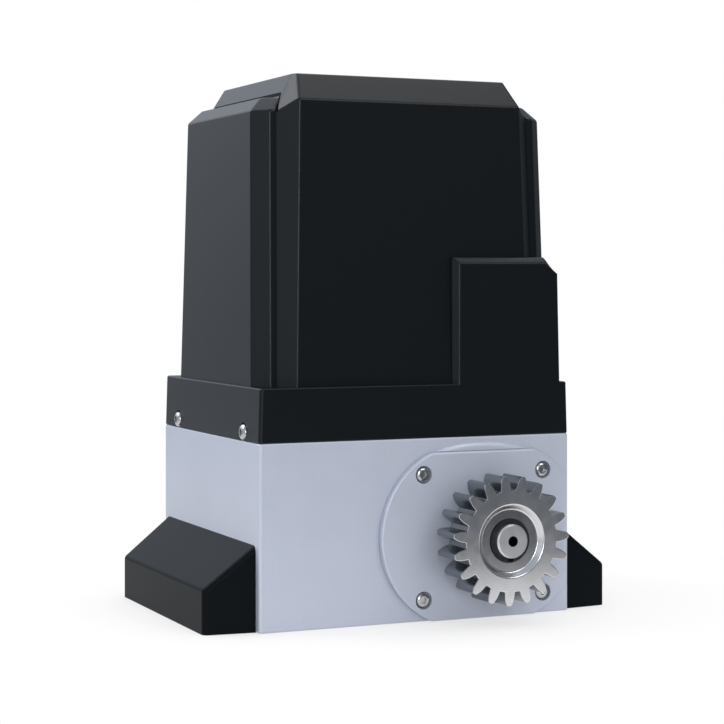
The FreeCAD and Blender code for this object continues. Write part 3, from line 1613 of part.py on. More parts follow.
def check():
    """Stop if a feature failed, a cut cut nothing, or a sub-part has no sound solid."""
    for item in doc.Objects:
        if "Invalid" in item.State or "Error" in item.State:
            raise RuntimeError("%s of %s failed" % (item.Name, item.getParentGeoFeatureGroup().Label))
        if item.TypeId in ("PartDesign::Pocket", "PartDesign::SubtractiveLoft"):
            if item.BaseFeature.Shape.Volume - item.Shape.Volume < 0.01:
                raise RuntimeError("%s cuts nothing" % item.Name)
    for body in PIECES:
        if body.Shape.isNull() or not body.Shape.isValid() or not body.Shape.Solids:
            raise RuntimeError("%s has no sound shape" % body.Label)


def write():
    os.makedirs("parts", exist_ok=True)
    for body in PIECES:
        body.Shape.exportStep("parts/%s.step" % body.Label)


build()
check()
write()
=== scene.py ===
import json
import math

import bmesh
import bpy
from bpy.props import FloatProperty, FloatVectorProperty, IntProperty, PointerProperty
from mathutils import Euler, Matrix, Vector

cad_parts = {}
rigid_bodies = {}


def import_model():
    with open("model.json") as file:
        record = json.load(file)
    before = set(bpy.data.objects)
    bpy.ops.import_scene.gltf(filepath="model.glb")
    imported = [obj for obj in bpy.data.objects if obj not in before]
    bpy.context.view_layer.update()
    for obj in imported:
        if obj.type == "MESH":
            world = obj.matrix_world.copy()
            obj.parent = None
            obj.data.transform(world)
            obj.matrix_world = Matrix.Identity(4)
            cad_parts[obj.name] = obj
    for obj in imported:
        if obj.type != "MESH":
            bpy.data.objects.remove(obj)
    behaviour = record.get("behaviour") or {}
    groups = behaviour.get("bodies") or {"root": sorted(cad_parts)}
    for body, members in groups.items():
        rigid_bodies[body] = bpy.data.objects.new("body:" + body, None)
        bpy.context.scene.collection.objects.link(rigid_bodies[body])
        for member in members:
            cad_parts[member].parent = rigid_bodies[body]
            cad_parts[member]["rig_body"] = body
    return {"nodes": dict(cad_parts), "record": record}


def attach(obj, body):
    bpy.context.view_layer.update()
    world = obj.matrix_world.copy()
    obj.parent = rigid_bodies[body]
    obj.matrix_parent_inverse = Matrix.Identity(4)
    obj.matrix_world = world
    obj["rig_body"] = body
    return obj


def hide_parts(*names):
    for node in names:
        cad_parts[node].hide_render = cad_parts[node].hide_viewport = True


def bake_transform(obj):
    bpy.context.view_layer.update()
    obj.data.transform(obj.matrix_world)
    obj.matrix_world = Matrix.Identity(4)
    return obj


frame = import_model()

bl_info = {
    "name": "Sliding Gate Motor",
    "version": (1, 0, 0),
    "blender": (4, 5, 0),
    "location": "View3D > Sidebar > Gate Motor",
    "description": "Finishes the packed sliding gate motor with detailed pieces and materials",
    "category": "Object",
}

# Places that the pieces share, in metres, in the frame of the CAD model
DRIVE_AXIS = Vector((0.0455, 0.0, 0.0555))
WORM_AXIS = Vector((-0.0035, -0.0215, 0.0))
LOCK_AXIS = Vector((-0.028, 0.0, 0.0555))
BASE_HALF_LENGTH = 0.112
BASE_HALF_WIDTH = 0.094
BASE_HEIGHT = 0.120
PLATE_SCREW_SPREAD = (0.04425, 0.041)
PLATE_SCREW_SEAT = -0.0953
HOOD_SCREW_SEAT = 0.1105
HOOD_SCREW_PLACE = (0.065, 0.1255)

# Where the hood's edges lie: on the sensor riser, at its cut corner, above the skirt's lower strip,
# and on the lip at the skirt's foot, which is this near to the planes of the base's ends and sides
RISER_LEFT = 0.02
RISER_BACK = -0.085
CUT_CORNER_LEFT = 0.094
CUT_CORNER_BACK = -0.074
CUT_CORNER_LEVELS = (0.2275, 0.24)
SKIRT_STRIP = 0.014
LIP_REACH = (0.0012, 0.0015)

# The shadow line beside a side pad, where X and Y are positive: its corner, the end of its slanting
# part and how much further that part runs, the ways out of the surface, and its depth
PAD_CORNER = Vector((0.0853, 0.0632, 0.3449))
PAD_SLANT_END = Vector((0.0910, 0.0711, 0.3341))
PAD_SLANT_OVERRUN = 0.15
PAD_TOP_OUT = Vector((0.88, 0.0, 0.47))
PAD_SLANT_OUT = Vector((1.0, 1.2, 0.4))
NOTCH_DEPTH = 0.0015

# Where the casting's edges lie: this near to its ends and sides, or on the upper part of the fairing
# behind the front plate, which stands out by more than this and starts at this level
CASTING_CORNER = 0.0021
FAIRING_OUT = 0.001
FAIRING_LOW = 0.1112

# Distances from the drive axis between which the steel's painted shade starts: on the recessed hub, round
# the shaft under the snap ring's gap, on the tooth flanks and inside the shaft's centre hole; and the same
# for places along Y just behind the gear's face, where the flanks' painted shade starts
HUB_SHADE_RIM = (0.0196, 0.0204)
SHAFT_GAP_SHADE = (0.0146, 0.0141)
TOOTH_FEET = (0.028, 0.029)
CENTRE_HOLE_SHADE = (0.0036, 0.0033)
BEHIND_FACE = (-0.1373, -0.1367)

# The screws: the head's outline as shares of its height and radius, the shanks and their points
HEAD_OUTLINE = ((0.30, 1.0), (0.52, 0.965), (0.72, 0.88), (0.88, 0.74), (0.97, 0.58), (1.0, 0.50))
PLATE_SHANK = 0.0203
HOOD_SHANK = 0.0055
SHANK_POINT = 0.0006

# Edges too small to be worth a setting
RING_EDGE = 0.0002
LOCK_EDGE = 0.00025
SCREW_EDGE = 0.00018

# Directions in which gloss sees the dark and the bright side of the surround
DARK_SIDE = (0.927, -0.375, 0.0)
BRIGHT_SIDE = (-0.35, 0.60, 0.72)

# The floor lies this far below the feet and fades to white between these distances from the origin
FLOOR_DROP = 0.0002
FLOOR_FADE = (0.16, 0.34)

# Points nearer to each other than this are merged, edges nearer to a level than these lie on it, and
# angles below these count as flat or as smooth
MERGE_DISTANCE = 1e-5
LEVEL_TOLERANCE = 3e-5
RIM_TOLERANCE = 1e-4
FLAT_ANGLE = math.radians(0.6)
SMOOTH_ANGLE = math.radians(38)
GEAR_SMOOTH_ANGLE = math.radians(32)
SCREW_SMOOTH_ANGLE = math.radians(42)

# The material slot of each CAD node
SLOTS = {part["node"]: part["material_slot"] for part in frame["record"]["subparts"]}


class GateMotorSizes(bpy.types.PropertyGroup):
    """Edge radii and fastener sizes"""

    hood_edge: FloatProperty(
        name="Hood edge", description="Radius of the moulded hood's edges",
        default=0.0011, unit="LENGTH")
    casting_edge: FloatProperty(
        name="Casting edge", description="Width of the casting's broken edges",
        default=0.0012, unit="LENGTH")
    pinion_edge: FloatProperty(
        name="Pinion edge", description="Width of the deburred edge along the pinion's teeth",
        default=0.0006, unit="LENGTH")
    lever_edge: FloatProperty(
        name="Lever edge", description="Radius of the release lever's edges",
        default=0.0007, unit="LENGTH")
    screw_head: FloatProperty(
        name="Screw head radius", description="Radius of the button heads",
        default=0.00525, unit="LENGTH")
    screw_rise: FloatProperty(
        name="Screw head height", description="Height of the button heads above their seats",
        default=0.0033, unit="LENGTH")
    screw_socket: FloatProperty(
        name="Socket radius", description="Corner radius of the hexagon sockets",
        default=0.0023, unit="LENGTH")
    screw_shank: FloatProperty(
        name="Shank radius", description="Radius of the screws' shanks",
        default=0.003, unit="LENGTH")
    screw_facets: IntProperty(
        name="Screw facets", description="Facets round a screw", default=48, min=12)


class GateMotorColours(bpy.types.PropertyGroup):
    """The colours of the visible finishes"""

    paint: FloatVectorProperty(
        name="Silver paint", description="Satin paint of the casting and its front plate",
        default=(0.47, 0.505, 0.60), subtype="COLOR", size=3)
    hood: FloatVectorProperty(
        name="Hood plastic", description="Grained plastic of the hood, the foot covers and the lever",
        default=(0.0034, 0.0053, 0.0070), subtype="COLOR", size=3)
    steel: FloatVectorProperty(
        name="Steel", description="Milled and turned steel",
        default=(0.68, 0.68, 0.70), subtype="COLOR", size=3)
    blackened: FloatVectorProperty(
        name="Blackened steel", description="The pinion's retaining ring",
        default=(0.018, 0.019, 0.021), subtype="COLOR", size=3)


class GateMotorStudio(bpy.types.PropertyGroup):
    """The camera, floor and lamps"""

    camera_place: FloatVectorProperty(
        name="Camera place", description="Where the camera stands",
        default=(-0.5618, -1.264, 0.2251), subtype="TRANSLATION", size=3)
    camera_turn: FloatProperty(
        name="Camera turn", description="The camera's angle round the object",
        default=math.radians(-24), subtype="ANGLE")
    lens: FloatProperty(
        name="Lens", description="Focal length in millimetres", default=98.55)
    lens_shift: FloatProperty(
        name="Lens shift", description="Vertical shift that keeps the uprights upright",
        default=-0.1162)
    floor_low: FloatVectorProperty(
        name="Floor near corner", description="Where the floor starts, left and in front",
        default=(-0.75, -0.345), subtype="TRANSLATION", size=2)
    floor_high: FloatVectorProperty(
        name="Floor far corner", description="Where the floor ends, right and behind",
        default=(0.75, 0.75), subtype="TRANSLATION", size=2)
    floor_glow: FloatProperty(
        name="Floor glow", description="How white the floor is for the camera beside the object",
        default=0.62, subtype="FACTOR")


def leave_all():
    """Leave edit mode and deselect everything."""
    if bpy.context.mode != "OBJECT":
        bpy.ops.object.mode_set(mode="OBJECT")
    bpy.ops.object.select_all(action="DESELECT")


def take(piece):
    """Make one object the only selected one."""
    leave_all()
    piece.select_set(True)
    bpy.context.view_layer.objects.active = piece


def choose(piece, kind, test):
    """Enter edit mode with only the faces or the edges that pass a test selected."""
    take(piece)
    bpy.ops.object.mode_set(mode="EDIT")
    bpy.ops.mesh.select_mode(type=kind)
    bpy.ops.mesh.select_all(action="DESELECT")
    bpy.ops.object.mode_set(mode="OBJECT")
    for item in piece.data.edges if kind == "EDGE" else piece.data.polygons:
        item.select = test(item)
    bpy.ops.object.mode_set(mode="EDIT")


def outer_edges(piece, sharper_than, test):
    """A shape's convex edges of at least this angle that pass a test of their middle and normals."""
    shape = bmesh.new()
    shape.from_mesh(piece.data)
    shape.normal_update()
    picked = set()
    for edge in shape.edges:
        if len(edge.link_faces) != 2 or not edge.is_convex:
            continue
        if edge.calc_face_angle() < math.radians(sharper_than):
            continue
        middle = (edge.verts[0].co + edge.verts[1].co) / 2
        if test(middle, [face.normal for face in edge.link_faces]):
            picked.add(edge.index)
    shape.free()
    return picked


def bevel(piece, picked, width):
    """Round the picked edges in edit mode."""
    if not picked:
        raise RuntimeError("no edge of %s was picked to be rounded" % piece.name)
    choose(piece, "EDGE", lambda edge: edge.index in picked)
    bpy.ops.mesh.bevel(offset=width, segments=3, profile=0.5, affect="EDGES",
                       clamp_overlap=False, loop_slide=True)
    bpy.ops.mesh.select_mode(type="VERT")
    bpy.ops.mesh.select_all(action="SELECT")
    bpy.ops.mesh.remove_doubles(threshold=MERGE_DISTANCE)
    bpy.ops.object.mode_set(mode="OBJECT")


def copy_node(node, name):
    """A copy of a CAD node with its triangles joined into whole faces."""
    piece = bpy.data.objects.new(name, frame["nodes"][node].data.copy())
    piece.data.name = name
    bpy.context.scene.collection.objects.link(piece)
    take(piece)
    bpy.ops.mesh.customdata_custom_splitnormals_clear()
    bpy.ops.object.mode_set(mode="EDIT")
    bpy.ops.mesh.select_mode(type="VERT")
    bpy.ops.mesh.select_all(action="SELECT")
    bpy.ops.mesh.remove_doubles(threshold=MERGE_DISTANCE)
    bpy.ops.mesh.dissolve_limited(angle_limit=FLAT_ANGLE)
    bpy.ops.object.mode_set(mode="OBJECT")
    return piece


def apply(piece, kind, **settings):
    """Add a modifier with these settings and apply it."""
    modifier = piece.modifiers.new(kind.title(), kind)
    for setting, value in settings.items():
        setattr(modifier, setting, value)
    take(piece)
    bpy.ops.object.modifier_apply(modifier=modifier.name)


def round_edges(piece, width, segments=2, sharper_than=40):
    """Round every edge sharper than an angle in degrees."""
    apply(piece, "BEVEL", width=width, segments=segments, limit_method="ANGLE",
          angle_limit=math.radians(sharper_than), use_clamp_overlap=True, profile=0.5)


def smooth(piece, angle=SMOOTH_ANGLE):
    """Shade the curved faces smooth and keep the flat ones flat."""
    take(piece)
    bpy.ops.object.shade_smooth_by_angle(angle=angle)
    apply(piece, "WEIGHTED_NORMAL", keep_sharp=True, weight=60)


def place_mesh(piece, matrix):
    """Move the piece's mesh, so that its object stays at the origin."""
    take(piece)
    piece.matrix_world = matrix
    bpy.ops.object.transform_apply(location=True, rotation=True, scale=True)


def settle(piece, node, finish):
    """The piece takes a CAD node's place: its body and its finish."""
    piece.data.materials.clear()
    piece.data.materials.append(finish)
    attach(piece, frame["nodes"][node]["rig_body"])
    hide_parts(node)


def combine(tree, operation, first, second):
    """A maths node on two values."""
    node = tree.nodes.new("ShaderNodeMath")
    node.operation = operation
    tree.links.new(first, node.inputs[0])
    tree.links.new(second, node.inputs[1])
    return node.outputs[0]


def map_range(tree, factor, start, end, low, high, kind="LINEAR"):
    """A factor's range from start to end, carried over to the range from low to high."""
    node = tree.nodes.new("ShaderNodeMapRange")
    node.interpolation_type = kind
    for socket, value in (("From Min", start), ("From Max", end), ("To Min", low), ("To Max", high)):
        node.inputs[socket].default_value = value
    tree.links.new(factor, node.inputs["Value"])
    return node.outputs["Result"]


def mix_shaders(tree, factor, first, second):
    """The first shader where the factor is 0 and the second where it is 1."""
    node = tree.nodes.new("ShaderNodeMixShader")
    for socket, source in enumerate((factor, first, second)):
        tree.links.new(source, node.inputs[socket])
    return node.outputs[0]


class Finish:
    """A procedural material on Object coordinates, built up layer by layer."""

    made = {}

    def __init__(self, name, colour, roughness, metallic=0.0, specular=0.5, coat=0.0):
        self.material = bpy.data.materials.new(name)
        self.material.use_nodes = True
        self.material.diffuse_color = (*colour, 1)
        self.tree = self.material.node_tree
        self.nodes, self.links = self.tree.nodes, self.tree.links
        self.shader = self.nodes["Principled BSDF"]
        sockets = self.shader.inputs
        sockets["Base Color"].default_value = (*colour, 1)
        sockets["Roughness"].default_value = roughness
        sockets["Metallic"].default_value = metallic
        sockets["Specular IOR Level"].default_value = specular
        sockets["Coat Weight"].default_value = coat
        self.place = self.nodes.new("ShaderNodeTexCoord").outputs["Object"]
        self.colour = None
        self.normal = None
        Finish.made[name] = self.material

    def at(self, centre=(0, 0, 0), stretch=(1, 1, 1), turn=(0, 0, 0)):
        """Coordinates about a centre, turned and stretched."""
        node = self.nodes.new("ShaderNodeMapping")
        moved = Euler(turn).to_matrix() @ (Vector(centre) * Vector(stretch))
        node.inputs["Location"].default_value = -moved
        node.inputs["Rotation"].default_value = turn
        node.inputs["Scale"].default_value = stretch
        self.links.new(self.place, node.inputs["Vector"])
        return node.outputs["Vector"]

    def reach(self, centre):
        """The distance from a line through the centre along Y."""
        node = self.nodes.new("ShaderNodeVectorMath")
        node.operation = "LENGTH"
        self.links.new(self.at(centre, (1, 0, 1)), node.inputs[0])
        return node.outputs["Value"]

    def depth(self):
        """The place along Y, from front to back."""
        node = self.nodes.new("ShaderNodeSeparateXYZ")
        self.links.new(self.place, node.inputs[0])
        return node.outputs["Y"]

    def both(self, first, second):
        """High only where both factors are."""
        return combine(self.tree, "MULTIPLY", first, second)

    def noise(self, scale, detail=2.0, where=None):
        node = self.nodes.new("ShaderNodeTexNoise")
        node.inputs["Scale"].default_value = scale
        node.inputs["Detail"].default_value = detail
        self.links.new(where or self.place, node.inputs["Vector"])
        return node.outputs["Fac"]

    def cells(self, scale):
        """A random level for each cell."""
        node = self.nodes.new("ShaderNodeTexVoronoi")
        node.inputs["Scale"].default_value = scale
        self.links.new(self.place, node.inputs["Vector"])
        return node.outputs["Color"]

    def bands(self, direction, scale, where=None, kind="BANDS", distortion=0.0):
        """Straight bands across a direction, or rings round it."""
        node = self.nodes.new("ShaderNodeTexWave")
        node.wave_type = kind
        if kind == "BANDS":
            node.bands_direction = direction
        else:
            node.rings_direction = direction
        node.inputs["Scale"].default_value = scale
        node.inputs["Distortion"].default_value = distortion
        node.inputs["Detail"].default_value = 1.0
        node.inputs["Detail Scale"].default_value = 2.0
        self.links.new(where or self.place, node.inputs["Vector"])
        return node.outputs["Fac"]

    def spread(self, factor, low, high, start=0.3, end=0.7):
        """A pattern's middle range spread between two values."""
        return map_range(self.tree, factor, start, end, low, high)

    def mix(self, kind, factor, second):
        """Lay a colour or a level over the colour so far."""
        node = self.nodes.new("ShaderNodeMix")
        node.data_type = "RGBA"
        node.blend_type = kind
        first, other = node.inputs[6], node.inputs[7]
        if self.colour is None:
            first.default_value = self.shader.inputs["Base Color"].default_value
        else:
            self.links.new(self.colour, first)
        if isinstance(factor, float):
            node.inputs[0].default_value = factor
        else:
            self.links.new(factor, node.inputs[0])
        if isinstance(second, tuple):
            other.default_value = (*second, 1)
        else:
            self.links.new(second, other)
        self.colour = node.outputs[2]
        self.links.new(self.colour, self.shader.inputs["Base Color"])

    def shade(self, factor, low, high, start=0.3, end=0.7):
        """Darken and lighten the colour by a pattern."""
        self.mix("MULTIPLY", 1.0, self.spread(factor, low, high, start, end))

    def tint(self, factor, colour, start=0.4, end=0.6, most=1.0):
        """Blend towards another colour where a pattern is high."""
        self.mix("MIX", self.spread(factor, 0.0, most, start, end), colour)

    def rough(self, factor, low, high, start=0.3, end=0.7):
        """Roughness between two values by a pattern."""
        self.links.new(self.spread(factor, low, high, start, end), self.shader.inputs["Roughness"])

    def bump(self, height, depth, strength=1.0):
        """Relief of this depth in metres, on top of what is there."""
        node = self.nodes.new("ShaderNodeBump")
        node.inputs["Strength"].default_value = strength
        node.inputs["Distance"].default_value = depth
        self.links.new(height, node.inputs["Height"])
        if self.normal is not None:
            self.links.new(self.normal, node.inputs["Normal"])
        self.normal = node.outputs["Normal"]
        self.links.new(self.normal, self.shader.inputs["Normal"])


def finish(name):
    """A finish by name, made when it is first asked for."""
    if name not in Finish.made:
        RECIPES[name]()
    return Finish.made[name]


def silver_paint():
    colour = bpy.context.scene.gate_motor_colours.paint
    made = Finish("cast_paint", colour, 0.42, metallic=0.28, specular=0.45)
    made.shade(made.noise(14, 3), 0.975, 1.02)
    made.shade(made.noise(1900, 1), 0.965, 1.03)
    made.rough(made.noise(55, 3), 0.38, 0.46)
    made.bump(made.noise(70, 2), 0.0003, 0.10)
    made.bump(made.noise(900, 2), 0.00006, 0.22)


def fine_plastic(name, roughness, spread, specular):
    """The finely grained black plastic, its roughness spread about a middle value."""
    colour = bpy.context.scene.gate_motor_colours.hood
    made = Finish(name, colour, roughness, specular=specular)
    made.shade(made.noise(1300, 1), 0.93, 1.07)
    made.rough(made.noise(700, 2), roughness - spread, roughness + spread)
    made.bump(made.noise(1700, 1), 0.00004, 0.16)


def milled_steel():
    """Gear steel: a turned face, painted shade on the recessed hub and round the shaft under the snap ring,
    and painted shade on the tooth flanks.
    """
    colour = bpy.context.scene.gate_motor_colours.steel
    made = Finish("gear_steel", colour, 0.24, metallic=1.0)
    lathe = made.bands("Y", 190, made.at(DRIVE_AXIS), kind="RINGS")
    away = made.reach(DRIVE_AXIS)
    made.shade(lathe, 0.97, 1.02)
    made.shade(made.noise(40, 3), 0.96, 1.03)
    # painted shade: the recessed hub inside its rim is darkened
    made.shade(away, 0.63, 1.0, *HUB_SHADE_RIM)
    # painted shade: near black round the shaft under the snap ring, so that its gap looks dark
    made.tint(away, (0.02, 0.02, 0.022), *SHAFT_GAP_SHADE)
    # painted shade on the tooth flanks, behind the gear's face and outside the tooth feet
    flank_shade = made.both(made.spread(made.depth(), 0.0, 1.0, *BEHIND_FACE),
                      made.spread(away, 0.0, 1.0, *TOOTH_FEET))
    made.tint(flank_shade, (0.16, 0.175, 0.18), 0.0, 1.0, 0.95)
    made.rough(made.noise(180, 3), 0.21, 0.27)
    made.bump(lathe, 0.00001, 0.1)


def turned(name, centre, axis, roughness=0.28, rings=240):
    """Steel turned on a lathe: fine rings about an axis, with slight stains."""
    colour = bpy.context.scene.gate_motor_colours.steel
    made = Finish(name, colour, roughness, metallic=1.0)
    lathe = made.bands(axis, rings, made.at(centre), kind="RINGS")
    made.shade(lathe, 0.95, 1.03)
    made.shade(made.noise(60, 3), 0.95, 1.03)
    made.rough(made.noise(150, 3), roughness - 0.04, roughness + 0.05)
    made.bump(lathe, 0.00001, 0.1)
    return made


def shaft_steel():
    """The drive shaft: turned steel, with painted shade inside its centre hole."""
    made = turned("machined_steel", DRIVE_AXIS, "Y", 0.36)
    # painted shade: near black inside the centre hole
    made.tint(made.reach(DRIVE_AXIS), (0.015, 0.015, 0.016), *CENTRE_HOLE_SHADE)


def bright_screw():
    made = Finish("bright_steel", (0.50, 0.50, 0.51), 0.24, metallic=1.0)
    made.shade(made.noise(300, 2), 0.94, 1.03)
    made.rough(made.noise(420, 3), 0.2, 0.29)
    made.bump(made.noise(1600, 2), 0.00001, 0.15)


def blackened_steel():
    colour = bpy.context.scene.gate_motor_colours.blackened
    made = Finish("black_steel", colour, 0.36, metallic=0.2, specular=0.2)
    made.shade(made.noise(300, 3), 0.8, 1.3)
    made.rough(made.noise(500, 2), 0.28, 0.46)
    made.bump(made.noise(1400, 2), 0.00003, 0.3)


def raw_aluminium():
    made = Finish("raw_aluminium", (0.62, 0.63, 0.64), 0.45, metallic=1.0)
    made.shade(made.noise(45, 4), 0.86, 1.05)
    made.rough(made.noise(130, 3), 0.38, 0.56)
    made.bump(made.noise(420, 3), 0.00018, 0.35)


def sheet_gasket():
    made = Finish("gasket", (0.055, 0.055, 0.052), 0.85, specular=0.25)
    made.shade(made.noise(700, 4), 0.7, 1.35)
    made.bump(made.noise(1500, 3), 0.00008, 0.5)


def seal_rubber():
    made = Finish("seal_rubber", (0.018, 0.018, 0.019), 0.52, specular=0.35)
    made.shade(made.noise(120, 3), 0.8, 1.25)
    made.rough(made.noise(240, 2), 0.44, 0.62)
    made.bump(made.noise(900, 2), 0.00005, 0.3)


def spring_steel():
    made = Finish("spring_steel", (0.38, 0.38, 0.40), 0.28, metallic=1.0)
    made.shade(made.noise(300, 3), 0.8, 1.1)
    made.rough(made.noise(600, 2), 0.2, 0.38)
    made.bump(made.noise(1800, 2), 0.00002, 0.3)


def bearing_steel():
    made = Finish("bearing_steel", (0.58, 0.59, 0.60), 0.16, metallic=1.0)
    made.shade(made.noise(90, 3), 0.93, 1.04)
    made.rough(made.noise(380, 2), 0.11, 0.24)
    made.bump(made.noise(2200, 1), 0.00001, 0.2)


def cast_bronze():
    made = Finish("bronze", (0.62, 0.40, 0.17), 0.34, metallic=1.0)
    made.shade(made.noise(70, 4), 0.82, 1.08)
    made.tint(made.noise(160, 4), (0.36, 0.22, 0.10), 0.6, 0.8, 0.5)
    made.rough(made.noise(250, 3), 0.26, 0.44)
    made.bump(made.bands("Y", 900, made.at(DRIVE_AXIS), kind="RINGS"), 0.00002, 0.3)


def turned_brass():
    made = Finish("brass", (0.74, 0.55, 0.24), 0.24, metallic=1.0)
    made.shade(made.noise(200, 3), 0.86, 1.05)
    made.rough(made.noise(500, 2), 0.18, 0.34)
    made.bump(made.noise(1500, 2), 0.00002, 0.25)


def stacked_sheet():
    """Electrical steel: half-millimetre sheets stacked along Z."""
    made = Finish("lamination", (0.30, 0.31, 0.33), 0.42, metallic=1.0)
    sheets = made.bands("Z", 320, distortion=0.15)
    made.shade(sheets, 0.55, 1.1, 0.05, 0.5)
    made.tint(made.noise(90, 4), (0.22, 0.15, 0.10), 0.62, 0.8, 0.35)
    made.rough(made.noise(300, 3), 0.34, 0.52)
    made.bump(sheets, 0.00010, 0.5)


def wound_copper():
    """Enamelled wire wound round the stator's axis."""
    made = Finish("copper", (0.52, 0.20, 0.09), 0.30, metallic=1.0, coat=0.4)
    turns = made.bands("Z", 260, made.at(WORM_AXIS), kind="RINGS", distortion=1.2)
    layers = made.bands("Z", 260, made.at(WORM_AXIS), distortion=1.0)
    made.shade(turns, 0.55, 1.15, 0.1, 0.7)
    made.shade(layers, 0.7, 1.1, 0.1, 0.7)
    made.bump(turns, 0.0002, 0.5)
    made.bump(layers, 0.0002, 0.5)


def galvanised_sheet():
    made = Finish("zinc_sheet", (0.60, 0.61, 0.62), 0.36, metallic=1.0)
    made.shade(made.cells(160), 0.82, 1.06, 0.0, 1.0)
    made.rough(made.cells(160), 0.28, 0.46, 0.0, 1.0)
    made.bump(made.noise(500, 2), 0.00003, 0.2)


def solder_resist():
    """Green resist with the raised runs of the copper tracks below."""
    made = Finish("board_green", (0.012, 0.125, 0.045), 0.26, coat=0.3)
    node = made.nodes.new("ShaderNodeTexBrick")
    for socket, value in (("Scale", 110), ("Mortar Size", 0.09), ("Brick Width", 0.9), ("Row Height", 0.3)):
        node.inputs[socket].default_value = value
    made.links.new(made.at(turn=(0, math.radians(90), 0)), node.inputs["Vector"])
    made.tint(node.outputs["Fac"], (0.03, 0.24, 0.08), 0.2, 0.8, 0.8)
    made.shade(made.noise(200, 3), 0.9, 1.1)
    made.bump(node.outputs["Fac"], 0.00004, 0.6)


def moulded(name, colour, roughness, grain, specular=0.4):
    made = Finish(name, colour, roughness, specular=specular)
    made.shade(made.noise(80, 3), 0.9, 1.08)
    made.rough(made.noise(300, 2), roughness - 0.05, roughness + 0.08)
    made.bump(made.noise(grain, 2), 0.00005, 0.3)


def coil_tape():
    """Yellow tape wound in overlapping layers."""
    made = Finish("coil_tape", (0.62, 0.44, 0.08), 0.30, coat=0.35)
    layers = made.bands("Z", 45, distortion=0.4)
    made.shade(layers, 0.86, 1.05, 0.4, 0.6)
    made.shade(made.noise(120, 3), 0.9, 1.06)
    made.bump(layers, 0.0001, 0.4)


def drawn_can():
    made = Finish("capacitor_can", (0.70, 0.71, 0.72), 0.26, metallic=1.0)
    drawn = made.noise(50, 3, made.at(stretch=(8, 8, 0.6)))
    made.shade(drawn, 0.88, 1.04)
    made.rough(made.noise(200, 2), 0.2, 0.34)
    made.bump(drawn, 0.00003, 0.3)


RECIPES = {
    "cast_paint": silver_paint,
    "hood_plastic": lambda: fine_plastic("hood_plastic", 0.33, 0.015, 0.24),
    "foot_plastic": lambda: fine_plastic("foot_plastic", 0.38, 0.02, 0.042),
    "gear_steel": milled_steel,
    "machined_steel": shaft_steel,
    "motor_shaft_steel": lambda: turned("motor_shaft_steel", WORM_AXIS, "Z", 0.22),
    "lock_steel": lambda: turned("lock_steel", LOCK_AXIS, "Y", 0.25, 700),
    "bright_steel": bright_screw,
    "black_steel": blackened_steel,
    "raw_aluminium": raw_aluminium,
    "gasket": sheet_gasket,
    "seal_rubber": seal_rubber,
    "spring_steel": spring_steel,
    "bearing_steel": bearing_steel,
    "bronze": cast_bronze,
    "brass": turned_brass,
    "lamination": stacked_sheet,
    "copper": wound_copper,
    "zinc_sheet": galvanised_sheet,
    "board_green": solder_resist,
    "terminal_plastic": lambda: moulded("terminal_plastic", (0.03, 0.20, 0.08), 0.42, 1200),
    "relay_plastic": lambda: moulded("relay_plastic", (0.022, 0.023, 0.026), 0.36, 1600),
    "coil_tape": coil_tape,
    "capacitor_can": drawn_can,
}


def make_camera(studio):
    data = bpy.data.cameras.new("Camera")
    data.sensor_width = 36
    data.lens = studio.lens
    data.shift_y = studio.lens_shift
    data.clip_start, data.clip_end = 0.05, 50
    camera = bpy.data.objects.new("Camera", data)
    camera.location = studio.camera_place
    camera.rotation_euler = (math.radians(90), 0, studio.camera_turn)
    bpy.context.scene.collection.objects.link(camera)
    bpy.context.scene.camera = camera


def make_floor(studio):
    """A pale sheet that ends a little in front of the object and fades to white away from it."""
    leave_all()
    bpy.ops.mesh.primitive_grid_add(x_subdivisions=8, y_subdivisions=8, size=1)
    floor = bpy.context.object
    floor.name = floor.data.name = "studio_floor"
    low, high = studio.floor_low, studio.floor_high
    floor.scale = (high[0] - low[0], high[1] - low[1], 1)
    floor.location = ((low[0] + high[0]) / 2, (low[1] + high[1]) / 2, -FLOOR_DROP)
    bpy.ops.object.transform_apply(location=True, rotation=True, scale=True)
    material = bpy.data.materials.new("studio_floor")
    material.use_nodes = True
    tree = material.node_tree
    nodes, links = tree.nodes, tree.links
    shader = nodes["Principled BSDF"]
    shader.inputs["Base Color"].default_value = (0.86, 0.86, 0.86, 1)
    shader.inputs["Roughness"].default_value = 0.9
    shader.inputs["Specular IOR Level"].default_value = 0.1
    glow = nodes.new("ShaderNodeEmission")
    glow.inputs["Strength"].default_value = 1.0
    place = nodes.new("ShaderNodeTexCoord")
    reach = nodes.new("ShaderNodeVectorMath")
    reach.operation = "LENGTH"
    links.new(place.outputs["Object"], reach.inputs[0])
    fade = map_range(tree, reach.outputs["Value"], *FLOOR_FADE, studio.floor_glow, 1.0, "SMOOTHSTEP")
    share = combine(tree, "MULTIPLY", backdrop_rays(tree), fade)
    links.new(mix_shaders(tree, share, shader.outputs[0], glow.outputs[0]),
              nodes["Material Output"].inputs["Surface"])
    floor.data.materials.append(material)


def backdrop_rays(tree):
    """1 for rays from the camera, from gloss and through glass, 0 for the rest."""
    rays = tree.nodes.new("ShaderNodeLightPath").outputs
    seen = combine(tree, "MAXIMUM", rays["Is Camera Ray"], rays["Is Glossy Ray"])
    return combine(tree, "MAXIMUM", seen, rays["Is Transmission Ray"])


